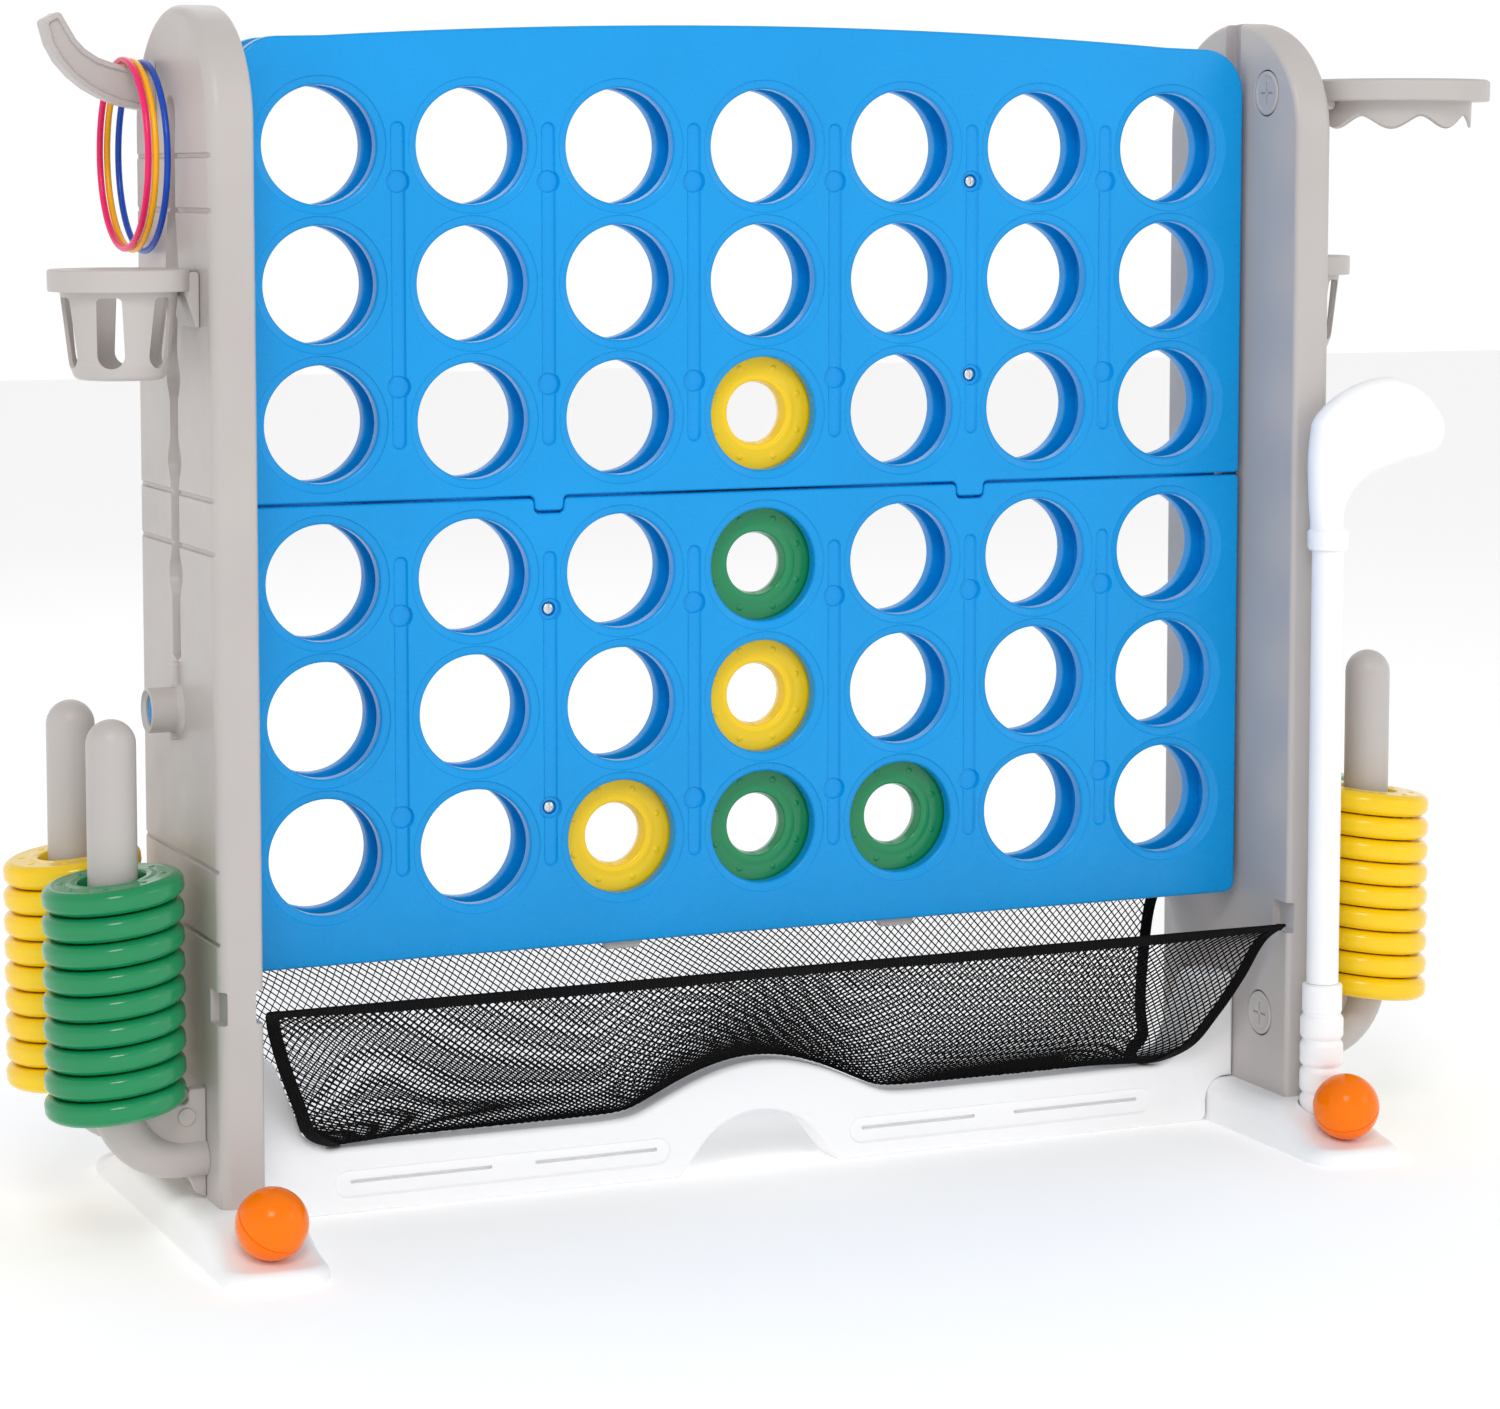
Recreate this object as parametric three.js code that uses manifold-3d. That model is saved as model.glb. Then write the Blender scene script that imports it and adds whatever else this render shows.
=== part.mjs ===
// Giant four in a row: a standing lawn game for dropping rings into a seven-column board.
// Millimetres, +Z up, +Y away from the players. The floor is z = 0 and the board stands over y = 0.
// The left and right ends are the same mouldings turned half a turn about the vertical.
import * as THREE from "three";
import { mergeVertices } from "three/addons/utils/BufferGeometryUtils.js";
import Module from "manifold-3d";

const wasm = await Module();
wasm.setup();

// ---- Driving dimensions -------------------------------------------------------------------

const GAP = 0.3; // clearance between pieces that touch
const HALF_TURN = Math.PI;
const QUARTER_TURN = Math.PI / 2;

// Grid of the board's holes
const COLUMNS = 7;
const ROWS_PER_PANEL = 3;
const COLUMN_PITCH = 135;
const ROW_PITCH = 116.7;
const SEAM_Z = 611; // height of the seam between the upper and lower panels
const SEAM_ROW_OFFSET = 66.75; // from the seam to the nearest row of holes
const HOLE_RADIUS = 49.7;

// Board panels
const BOARD_HALF_WIDTH = 481.5;
const BOARD_BOTTOM = 218;
const BOARD_SHOULDER = 1000; // top edge above the outer columns
const BOARD_CROWN = 1015.6; // top edge at the middle
const BOARD_TOP_CORNER = 50;
const BOARD_FOOT_CORNER = 10;
const PANEL_THICKNESS = 16;
const SLOT_HALF_WIDTH = 13; // half the space between the front and rear panels
const SEAM_TAB_X = 202.5;
const SEAM_TAB_HALF_WIDTH = 14;
const SEAM_TAB_DEPTH = 13;
const RIB_WIDTH = 15; // the ribs that divide the columns
const RIB_TOP = 985;
const RIB_FOOT = 253.4; // the ribs stop above the release sliders
const TONGUE_START = 465;
const TONGUE_END = 497.4;
const SCREW_ROW_OFFSET = 86.4; // screws above and below a panel's middle row
const SCREW_HEAD_RADIUS = 5;
const SCREW_SHANK_RADIUS = 2.5;
const SCREW_HEAD_HEIGHT = 3;
const SCREW_RECESS_DEPTH = 3.5;
const SCREW_LENGTH = 34;

// Playing rings
const RING_RADIUS = 58.2;
const RING_BORE = 26;
const RING_THICKNESS = 21.3;
const RING_PITCH = RING_THICKNESS + GAP;
const RING_ROUND = 6.4; // rounding of the rim's edges
const RINGS_ON_PEG = 9;

// Release sliders under the rings
const SLIDER_TOP = 252.3;
const SLIDER_BAR_HALF = 5;
const SLIDER_BAR_Z = 226;
const SLIDER_CHANNEL_Z = 234;
const SLIDER_CHANNEL_DEPTH = 9.5;
const SLIDER_PAD_WIDTH = 15;
const SLIDER_INNER_END = 2;
const SLIDER_OUTER_END = 413;
const SLIDER_TAB_X = 133;
const SLIDER_TAB_HALF_WIDTH = 21;
const SLIDER_TAB_BOTTOM = 211;

// Legs
const LEG_INNER_X = 487;
const LEG_THICKNESS = 38;
const LEG_OUTER_X = LEG_INNER_X + LEG_THICKNESS;
const LEG_HALF_DEPTH = 115;
const LEG_FOOT_Z = 28;
const LEG_DOME_Z = 926;
const LEG_DOME_HEIGHT = 100;
const LEG_EDGE = 8;
const GROOVE_HALF_WIDTH = 13.2;
const GROOVE_DEPTH = 11;
const GROOVE_FOOT_Z = 253;
const NOTCH_Z = [191, 220];
const NOTCH_DEPTH_X = 7;
const NOTCH_DEPTH_Y = 26;
const BOSS_Z = 441;
const BOSS_RADIUS = 18;
const BOSS_LENGTH = 27;
const BOSS_BORE = 13.5;
const PLUG_LENGTH = 9;
const CAP_RADIUS = 20;
const CAP_DEPTH = 6;

// Feet
const FOOT_X = 505;
const FOOT_HALF_WIDTH = 45;
const FOOT_HALF_LENGTH = 227;
const FOOT_CORNER = 28;
const FOOT_CROWN = 40;
const FOOT_CROWN_END = 118; // the top is level this far from the middle
const FOOT_TOE_START = 204;
const FOOT_TOE_HEIGHT = 15;
const FOOT_SHOULDER = 20;

// Goal rail between the feet
const RAIL_HALF_THICKNESS = 22;
const RAIL_HEIGHT = 58;
const RAIL_EDGE = 6;
const RAIL_HUMP_HEIGHT = 99;
const RAIL_HUMP_HALF_WIDTH = 126;
const RAIL_POST_TOP = 140;
const RAIL_POST_X = 442;
const RAIL_POST_FOOT_X = 404;
const ARCH_HALF_WIDTH = 64;
const ARCH_HEIGHT = 54;
const ARCH_FLARE = 14;

// Ring pegs: two on each leg
const PEG_X = 600;
const PEG_Y = 67;
const PEG_RADIUS = 20.5;
const PEG_TOP = 445;
const ELBOW_CENTRE_X = LEG_OUTER_X + 20;
const ELBOW_Z = 130;
const ELBOW_END_RADIUS = 15.5;
const SHELF_Z = 120.6;
const WEB_HALF_THICKNESS = 6;
const WEB_TOP = 134;
const STACK_Z = SHELF_Z + GAP;

// Toss hook and its rings
const HOOK_Y = 60;
const HOOK_HALF_DEPTH = 12;
const TOSS_RING_RADIUS = 78.7; // to the middle of the tube
const TOSS_TUBE_RADIUS = 2.8;
const TOSS_RINGS = [
  { name: "toss_ring_pink", x: 549, z: 903.4, color: 0xf0326e },
  { name: "toss_ring_amber", x: 542.6, z: 902.5, color: 0xf7b21b },
  { name: "toss_ring_blue", x: 532.8, z: 901.4, color: 0x1d4fb8 },
];

// Cup holders
const CUP_X = 585.5;
const CUP_Y = -58;
const CUP_RIM_RADIUS = 57;
const CUP_RIM_Z = [793, 810];
const CUP_TOP_RADIUS = 47.6;
const CUP_FOOT_RADIUS = 39.5;
const CUP_FOOT_Z = 721;
const CUP_WALL = 3;
const CUP_SLOTS = 6;
const CUP_SLOT_WIDTH = 24;
const CUP_SLOT_Z = [742, 786];

// Hoop
const HOOP_X = 621;
const HOOP_Y = -60;
const HOOP_RIM_RADIUS = 90;
const HOOP_BORE = 70;
const HOOP_WALL = 3;
const HOOP_RIM_Z = [954, 974];
const HOOP_SKIRT_Z = 936;

// Stick
const STICK_X = 510;
const STICK_Y = -139;
const STICK_SOCKET_Z = 26;
const STICK_SOCKET_RADIUS = 20.8;
const STICK_FOOT_Z = STICK_SOCKET_Z + GAP;
const GRIP_TOP = 136;
const SHAFT_TOP = 548;
const SHAFT_RADIUS = 14.7;

// Balls on the toes
const BALL_RADIUS = 30;
const BALL_Y = 190;
const BALL_Z = 46;

// Catch net
const NET_HALF_WIDTH = 483;
const NET_TOP = 206;
const NET_HALF_DEPTH = 113;
const NET_FOOT_HALF_WIDTH = 400;
const NET_STATIONS = [0, 21, 42, 63, 84, 105, 126, 215, 305, NET_FOOT_HALF_WIDTH];
const NET_WALL = 3;
const NET_FLARE = 0.75;

// The origin is on the floor, under the middle of the overall box, which runs from the ring
// stacks on the left to the hoop on the right.
const BOX_CENTRE_X = (HOOP_X + HOOP_RIM_RADIUS - PEG_X - RING_RADIUS) / 2;

// ---- Materials ------------------------------------------------------------------------------

function plastic(color, roughness) {
  return new THREE.MeshStandardMaterial({ color, roughness, metalness: 0 });
}

const BOARD_BLUE = plastic(0x1e8fdc, 0.38);
const LEG_GREY = plastic(0xc3c1bd, 0.5);
const WHITE = plastic(0xf1f1f2, 0.45);
const RING_YELLOW = plastic(0xf8d21f, 0.3);
const RING_GREEN = plastic(0x1f8a55, 0.3);
const BALL_ORANGE = plastic(0xff7a10, 0.25);
const NET_BLACK = plastic(0x161616, 0.9);
const STEEL = new THREE.MeshStandardMaterial({ color: 0xb9bcc0, roughness: 0.3, metalness: 1 });

// ---- Solids -----------------------------------------------------------------------------------

// A geometry as a manifold solid: shared corners merged and flat triangles dropped.
function solid(geometry) {
  geometry.deleteAttribute("normal");
  geometry.deleteAttribute("uv");
  const welded = mergeVertices(geometry, 1e-3);
  const corners = welded.index.array;
  const kept = [];
  for (let i = 0; i < corners.length; i += 3) {
    const [a, b, c] = [corners[i], corners[i + 1], corners[i + 2]];
    if (a !== b && b !== c && c !== a) kept.push(a, b, c);
  }
  return new wasm.Manifold(
    new wasm.Mesh({
      numProp: 3,
      vertProperties: new Float32Array(welded.attributes.position.array),
      triVerts: new Uint32Array(kept),
    }),
  );
}

function join(solids) {
  return solids.reduce((sum, next) => sum.add(next));
}

function cut(body, tools) {
  return tools.reduce((rest, tool) => rest.subtract(tool), body);
}

function part(name, body, material) {
  const { vertProperties, triVerts } = body.getMesh();
  const geometry = new THREE.BufferGeometry();
  geometry.setAttribute("position", new THREE.BufferAttribute(vertProperties, 3));
  geometry.setIndex(new THREE.BufferAttribute(triVerts, 1));
  geometry.computeVertexNormals();
  const mesh = new THREE.Mesh(geometry, material);
  mesh.name = name;
  return mesh;
}

// A box from its lowest corner to its highest.
function block(low, high) {
  const size = low.map((value, axis) => high[axis] - value);
  const centre = low.map((value, axis) => (high[axis] + value) / 2);
  return solid(new THREE.BoxGeometry(...size).translate(...centre));
}

// A round bar along an axis, centred at a point.
function bar(axis, radius, length, centre, segments = 16) {
  const geometry = new THREE.CylinderGeometry(radius, radius, length, segments);
  if (axis === "x") geometry.rotateZ(QUARTER_TURN);
  if (axis === "z") geometry.rotateX(QUARTER_TURN);
  return solid(geometry.translate(...centre));
}

// A profile of (radius, height) points turned about the vertical axis through a point.
function turned(profile, segments, centre = [0, 0, 0]) {
  const points = profile.map(([radius, z]) => new THREE.Vector2(radius, z));
  const geometry = new THREE.LatheGeometry(points, segments);
  return solid(geometry.rotateX(QUARTER_TURN).translate(...centre));
}

// A shape drawn in (x, z) and given a depth from y = low to y = high.
function plateXZ(shape, low, high, edge = 0, curveSegments = 8) {
  const geometry = new THREE.ExtrudeGeometry(shape, {
    depth: high - low - 2 * edge,
    bevelEnabled: edge > 0,
    bevelThickness: edge,
    bevelSize: edge,
    bevelOffset: -edge,
    bevelSegments: 2,
    curveSegments,
  });
  return solid(geometry.rotateX(QUARTER_TURN).translate(0, high - edge, 0));
}

// A shape drawn in (y, z) and given a depth from x = low to x = high.
function plateYZ(shape, low, high, edge = 0, curveSegments = 8) {
  const upright = plateXZ(shape, -high, -low, edge, curveSegments);
  return upright.rotate([0, 0, 90]);
}

function shapeOf(points) {
  return new THREE.Shape(points.map(([u, v]) => new THREE.Vector2(u, v)));
}

// ---- Board ------------------------------------------------------------------------------------

function columnX(column) {
  return (column - (COLUMNS - 1) / 2) * COLUMN_PITCH;
}

// Heights of one panel's rows, from the seam outwards.
function rowHeights(side) {
  return Array.from(
    { length: ROWS_PER_PANEL },
    (_, row) => SEAM_Z + side * (SEAM_ROW_OFFSET + row * ROW_PITCH),
  );
}

function dividerXs() {
  return Array.from({ length: COLUMNS - 1 }, (_, i) => columnX(i) + COLUMN_PITCH / 2);
}

// The seam's edge from left to right, with its two tabs.
function seamPoints(z) {
  const tab = (x) => [
    [x - SEAM_TAB_HALF_WIDTH, z],
    [x - SEAM_TAB_HALF_WIDTH, z - SEAM_TAB_DEPTH],
    [x + SEAM_TAB_HALF_WIDTH, z - SEAM_TAB_DEPTH],
    [x + SEAM_TAB_HALF_WIDTH, z],
  ];
  const start = [-BOARD_HALF_WIDTH, z];
  return [start, ...tab(-SEAM_TAB_X), ...tab(SEAM_TAB_X), [BOARD_HALF_WIDTH, z]];
}

function upperOutline() {
  const shape = shapeOf(seamPoints(SEAM_Z + GAP / 2));
  const shoulderX = BOARD_HALF_WIDTH - BOARD_TOP_CORNER;
  const rise = BOARD_CROWN - BOARD_SHOULDER;
  const archRadius = (shoulderX ** 2 + rise ** 2) / (2 * rise);
  const tilt = Math.asin(shoulderX / archRadius);
  const cornerZ = BOARD_SHOULDER - BOARD_TOP_CORNER;
  shape.absarc(shoulderX, cornerZ, BOARD_TOP_CORNER, 0, QUARTER_TURN, false);
  const archZ = BOARD_CROWN - archRadius;
  shape.absarc(0, archZ, archRadius, QUARTER_TURN - tilt, QUARTER_TURN + tilt, false);
  shape.absarc(-shoulderX, cornerZ, BOARD_TOP_CORNER, QUARTER_TURN, HALF_TURN, false);
  return shape;
}

function lowerOutline() {
  const shape = shapeOf(seamPoints(SEAM_Z - GAP / 2));
  const cornerX = BOARD_HALF_WIDTH - BOARD_FOOT_CORNER;
  const cornerZ = BOARD_BOTTOM + BOARD_FOOT_CORNER;
  shape.absarc(cornerX, cornerZ, BOARD_FOOT_CORNER, 0, -QUARTER_TURN, true);
  shape.absarc(-cornerX, cornerZ, BOARD_FOOT_CORNER, -QUARTER_TURN, -HALF_TURN, true);
  return shape;
}

// Bores for the holes of one panel.
function holeBores(side) {
  const middle = -SLOT_HALF_WIDTH - PANEL_THICKNESS / 2;
  return rowHeights(side).flatMap((z) =>
    Array.from({ length: COLUMNS }, (_, column) =>
      bar("y", HOLE_RADIUS, PANEL_THICKNESS + 2, [columnX(column), middle, z], 12),
    ),
  );
}

// Ribs between the columns and the tongues that stand in the legs' grooves.
function ribs(low, high) {
  const inner = -SLOT_HALF_WIDTH - 1;
  const middle = -GAP / 2;
  const half = RIB_WIDTH / 2;
  const dividers = dividerXs().map((x) =>
    block([x - half, inner, low], [x + half, middle, high]),
  );
  const tongues = [-1, 1].map((side) => {
    const [a, b] = [side * TONGUE_START, side * TONGUE_END].sort((p, q) => p - q);
    return block([a, -SLOT_HALF_WIDTH + GAP, low], [b, middle, high]);
  });
  const joints = [-1, 1].map((side) => {
    const [a, b] = [side * TONGUE_START, side * (BOARD_HALF_WIDTH - 5)].sort((p, q) => p - q);
    return block([a, inner, low], [b, middle, high]);
  });
  return [...dividers, ...tongues, ...joints];
}

function screwPlaces(side) {
  const middle = rowHeights(side)[1];
  const x = side * SEAM_TAB_X;
  return [-1, 1].map((step) => [x, middle + step * SCREW_ROW_OFFSET]);
}

// The bores of the screws put in from the front, and of those put in from the rear.
function screwBores(side) {
  const front = -SLOT_HALF_WIDTH - PANEL_THICKNESS;
  const reach = SCREW_RECESS_DEPTH + SCREW_LENGTH + GAP;
  const sunk = 2 * (SCREW_RECESS_DEPTH + SCREW_HEAD_HEIGHT + GAP);
  const own = screwPlaces(side).flatMap(([x, z]) => [
    bar("y", SCREW_HEAD_RADIUS + GAP, sunk, [x, front, z], 8),
    bar("y", SCREW_SHANK_RADIUS + GAP, 2 * reach, [x, front, z], 6),
  ]);
  const back = screwPlaces(side).map(([x, z]) =>
    bar("y", SCREW_SHANK_RADIUS + GAP, 2 * reach, [-x, -front, z], 6),
  );
  return [...own, ...back];
}

// One front panel. The same moulding turned half a turn is the rear panel.
function panel(side) {
  const outline = side > 0 ? upperOutline() : lowerOutline();
  const face = -SLOT_HALF_WIDTH - PANEL_THICKNESS;
  const plate = plateXZ(outline, face, -SLOT_HALF_WIDTH, 0, 3);
  const lowerTop = SEAM_Z - SEAM_TAB_DEPTH - GAP;
  const ribSpan = side > 0 ? [SEAM_Z + GAP / 2, RIB_TOP] : [RIB_FOOT, lowerTop];
  const body = cut(join([plate, ...ribs(...ribSpan)]), holeBores(side));
  const channel = block(
    [-BOARD_HALF_WIDTH - 1, -SLOT_HALF_WIDTH - SLIDER_CHANNEL_DEPTH, BOARD_BOTTOM - 1],
    [BOARD_HALF_WIDTH + 1, -SLOT_HALF_WIDTH + 1, SLIDER_CHANNEL_Z],
  );
  return cut(body, side > 0 ? screwBores(side) : [...screwBores(side), channel]);
}

function screw() {
  const head = bar("y", SCREW_HEAD_RADIUS, SCREW_HEAD_HEIGHT, [0, SCREW_HEAD_HEIGHT / 2, 0], 8);
  const shank = bar("y", SCREW_SHANK_RADIUS, SCREW_LENGTH - 1, [0, SCREW_LENGTH / 2, 0], 6);
  return head.add(shank);
}

function screwParts(name, side) {
  const front = -SLOT_HALF_WIDTH - PANEL_THICKNESS;
  return screwPlaces(side).map(([x, z], i) => {
    const mesh = part(`${name}_${i + 1}`, screw(), STEEL);
    mesh.position.set(x, front + SCREW_RECESS_DEPTH, z);
    return mesh;
  });
}

function boardFace(faceName, materialOf) {
  const group = new THREE.Group();
  group.add(part(`${faceName}_upper_panel`, panel(1), materialOf));
  group.add(part(`${faceName}_lower_panel`, panel(-1), materialOf));
  group.add(...screwParts(`${faceName}_upper_screw`, 1));
  group.add(...screwParts(`${faceName}_lower_screw`, -1));
  return group;
}

// ---- Rings --------------------------------------------------------------------------------------

// One playing ring lying flat: a waisted bore and a rounded rim.
function ring() {
  const profile = [
    [RING_BORE, RING_THICKNESS / 2],
    [RING_BORE + 5, 0],
    [RING_RADIUS - RING_ROUND, 0],
    [RING_RADIUS, RING_ROUND],
    [RING_RADIUS, RING_THICKNESS - RING_ROUND],
    [RING_RADIUS - RING_ROUND, RING_THICKNESS],
    [RING_BORE + 5, RING_THICKNESS],
    [RING_BORE, RING_THICKNESS / 2],
  ];
  return turned(profile, 16);
}

// The rings on one peg, joined face to face.
function ringStack() {
  const profile = [[RING_BORE, 0]];
  for (let i = 0; i < RINGS_ON_PEG; i++) {
    const low = i * RING_PITCH;
    profile.push([RING_RADIUS - RING_ROUND, low]);
    profile.push([RING_RADIUS, low + RING_ROUND]);
    profile.push([RING_RADIUS, low + RING_THICKNESS - RING_ROUND]);
  }
  const top = RINGS_ON_PEG * RING_PITCH - GAP;
  profile.push([RING_RADIUS - RING_ROUND, top], [RING_BORE, top], [RING_BORE, 0]);
  return turned(profile, 12);
}

function boardRing(name, column, row, material) {
  const mesh = part(name, ring(), material);
  mesh.rotation.x = QUARTER_TURN;
  const heights = [...rowHeights(1).reverse(), ...rowHeights(-1)];
  mesh.position.set(columnX(column - 1), RING_THICKNESS / 2, heights[row - 1]);
  return mesh;
}

function stackPart(name, y, material) {
  const stack = part(`${name}_ring_stack`, ringStack(), material);
  stack.position.set(-PEG_X, y, STACK_Z);
  return stack;
}

// ---- Release sliders ------------------------------------------------------------------------------

// The right slider: a bar in the front panel's channel, pads under the rings and a finger tab.
function releaseSlider() {
  const front = -SLOT_HALF_WIDTH - SLIDER_CHANNEL_DEPTH + GAP;
  const bottom = BOARD_BOTTOM + 1;
  const half = SLIDER_PAD_WIDTH / 2;
  const barBody = block(
    [SLIDER_INNER_END, front, bottom],
    [SLIDER_OUTER_END, -SLOT_HALF_WIDTH - GAP, SLIDER_CHANNEL_Z - 2],
  );
  const centres = [SLIDER_INNER_END + half, columnX(4), columnX(5), columnX(6)];
  const pads = centres.map((x) =>
    join([
      block([x - half, front, bottom], [x + half, SLOT_HALF_WIDTH - 1, SLIDER_BAR_Z]),
      block([x - half, -SLOT_HALF_WIDTH + 1, bottom], [x + half, SLOT_HALF_WIDTH - 1, SLIDER_TOP]),
    ]),
  );
  const tabShape = shapeOf([
    [SLIDER_TAB_X - SLIDER_TAB_HALF_WIDTH, BOARD_BOTTOM + 4],
    [SLIDER_TAB_X - SLIDER_TAB_HALF_WIDTH + 6, SLIDER_TAB_BOTTOM],
    [SLIDER_TAB_X + SLIDER_TAB_HALF_WIDTH - 6, SLIDER_TAB_BOTTOM],
    [SLIDER_TAB_X + SLIDER_TAB_HALF_WIDTH, BOARD_BOTTOM + 4],
  ]);
  const tab = plateXZ(tabShape, front, front + 2 * SLIDER_BAR_HALF - 2);
  return join([barBody, ...pads, tab]);
}

// ---- Legs and feet ----------------------------------------------------------------------------------

function legOutline() {
  const shape = new THREE.Shape();
  shape.moveTo(-LEG_HALF_DEPTH, LEG_FOOT_Z);
  shape.lineTo(LEG_HALF_DEPTH, LEG_FOOT_Z);
  shape.absellipse(0, LEG_DOME_Z, LEG_HALF_DEPTH, LEG_DOME_HEIGHT, 0, HALF_TURN, false);
  return shape;
}

function notches() {
  const [low, high] = NOTCH_Z;
  const places = [];
  for (const y of [-LEG_HALF_DEPTH, LEG_HALF_DEPTH]) {
    for (const x of [-LEG_OUTER_X, -LEG_INNER_X]) {
      places.push(
        block(
          [x - NOTCH_DEPTH_X, y - NOTCH_DEPTH_Y, low],
          [x + NOTCH_DEPTH_X, y + NOTCH_DEPTH_Y, high],
        ),
      );
    }
  }
  return places;
}

// Where the cross-slotted caps sit in the leg's inner face, as (y, z).
const CAP_PLACES = [
  { place: "upper", y: HOOK_Y, z: 961 },
  { place: "far", y: PEG_Y, z: 110 },
  { place: "near", y: -PEG_Y, z: 110 },
];

function leg() {
  const body = plateYZ(legOutline(), -LEG_OUTER_X, -LEG_INNER_X, LEG_EDGE, 6);
  const bossX = -LEG_OUTER_X - BOSS_LENGTH / 2 + 1;
  const boss = bar("x", BOSS_RADIUS, BOSS_LENGTH + 2, [bossX, 0, BOSS_Z], 14);
  const mouthX = -LEG_OUTER_X - BOSS_LENGTH;
  const bore = bar("x", BOSS_BORE, 2 * BOSS_LENGTH, [mouthX, 0, BOSS_Z], 12);
  const groove = block(
    [-LEG_INNER_X - GROOVE_DEPTH, -GROOVE_HALF_WIDTH, GROOVE_FOOT_Z],
    [-LEG_INNER_X + 1, GROOVE_HALF_WIDTH, LEG_DOME_Z + LEG_DOME_HEIGHT + 1],
  );
  const capSeats = CAP_PLACES.map(({ y, z }) =>
    bar("x", CAP_RADIUS + GAP, 2 * (CAP_DEPTH + GAP), [-LEG_INNER_X, y, z], 12),
  );
  return cut(body.add(boss), [bore, groove, ...notches(), ...capSeats]);
}

// A cap that covers a fixing bolt, with a cross slot in its face.
function legCap() {
  const disc = bar("x", CAP_RADIUS, CAP_DEPTH, [-CAP_DEPTH / 2, 0, 0], 12);
  const slots = [
    block([-1.5, -8, -1.2], [1, 8, 1.2]),
    block([-1.5, -1.2, -8], [1, 1.2, 8]),
  ];
  return cut(disc, slots);
}

function footSide() {
  const rise = (y) => {
    const t = THREE.MathUtils.smoothstep(FOOT_TOE_START - y, 0, FOOT_TOE_START - FOOT_CROWN_END);
    return FOOT_TOE_HEIGHT + t * (FOOT_CROWN - FOOT_TOE_HEIGHT);
  };
  const steps = 5;
  const slope = Array.from({ length: steps + 1 }, (_, i) => {
    const y = FOOT_TOE_START + ((FOOT_CROWN_END - FOOT_TOE_START) * i) / steps;
    return [y, rise(y)];
  });
  const half = [[FOOT_HALF_LENGTH, FOOT_TOE_HEIGHT - 2], ...slope];
  const mirrored = half.map(([y, z]) => [-y, z]).reverse();
  return shapeOf([[-FOOT_HALF_LENGTH, 0], [FOOT_HALF_LENGTH, 0], ...half, ...mirrored]);
}

// A rectangle with rounded corners, centred on (0, 0).
function roundedRectangle(halfWidth, halfHeight, corner) {
  const [w, h] = [halfWidth - corner, halfHeight - corner];
  const shape = new THREE.Shape();
  shape.absarc(w, -h, corner, -QUARTER_TURN, 0, false);
  shape.absarc(w, h, corner, 0, QUARTER_TURN, false);
  shape.absarc(-w, h, corner, QUARTER_TURN, HALF_TURN, false);
  shape.absarc(-w, -h, corner, HALF_TURN, HALF_TURN + QUARTER_TURN, false);
  return shape;
}

// The foot's cross-section: upright sides and rounded shoulders.
function footSection() {
  const inner = -FOOT_X + FOOT_HALF_WIDTH;
  const outer = -FOOT_X - FOOT_HALF_WIDTH;
  const z = FOOT_CROWN - FOOT_SHOULDER;
  const shape = shapeOf([[outer, 0], [inner, 0]]);
  shape.absarc(inner - FOOT_SHOULDER, z, FOOT_SHOULDER, 0, QUARTER_TURN, false);
  shape.absarc(outer + FOOT_SHOULDER, z, FOOT_SHOULDER, QUARTER_TURN, HALF_TURN, false);
  return shape;
}

function foot() {
  const side = plateYZ(footSide(), -FOOT_X - FOOT_HALF_WIDTH, -FOOT_X + FOOT_HALF_WIDTH);
  const section = plateXZ(footSection(), -FOOT_HALF_LENGTH, FOOT_HALF_LENGTH, 0, 3);
  const outline = roundedRectangle(FOOT_HALF_WIDTH, FOOT_HALF_LENGTH, FOOT_CORNER);
  const plan = plateXZ(outline, 0, FOOT_CROWN + 1, 0, 2);
  const standing = plan.rotate([90, 0, 0]).translate([-FOOT_X, 0, 0]);
  const socket = block(
    [-LEG_OUTER_X - GAP, -LEG_HALF_DEPTH - GAP, LEG_FOOT_Z - GAP],
    [-LEG_INNER_X + GAP, LEG_HALF_DEPTH + GAP, FOOT_CROWN + 1],
  );
  const socketCentre = [-STICK_X, -STICK_Y, STICK_SOCKET_Z + 20];
  const stickSocket = bar("z", STICK_SOCKET_RADIUS, 40, socketCentre, 12);
  const seats = [-BALL_Y, BALL_Y].map((y) =>
    solid(new THREE.SphereGeometry(BALL_RADIUS + GAP, 14, 10).translate(-FOOT_X, y, BALL_Z)),
  );
  return cut(side.intersect(section).intersect(standing), [socket, stickSocket, ...seats]);
}

// ---- Goal rail ------------------------------------------------------------------------------------

// Height of the rail's top edge: level, with a smooth hump over the goal arch.
function railTop(x) {
  const t = Math.min(Math.abs(x) / RAIL_HUMP_HALF_WIDTH, 1);
  const bump = Math.cos((t * HALF_TURN) / 2) ** 2;
  return RAIL_HEIGHT + (RAIL_HUMP_HEIGHT - RAIL_HEIGHT) * bump;
}

function archPoints() {
  const steps = 12;
  return Array.from({ length: steps + 1 }, (_, i) => {
    const angle = HALF_TURN - (i / steps) * HALF_TURN;
    const lift = Math.sin(angle);
    const flare = ARCH_FLARE * (1 - lift) ** 4;
    return [Math.cos(angle) * (ARCH_HALF_WIDTH + flare), ARCH_HEIGHT * lift];
  });
}

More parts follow.
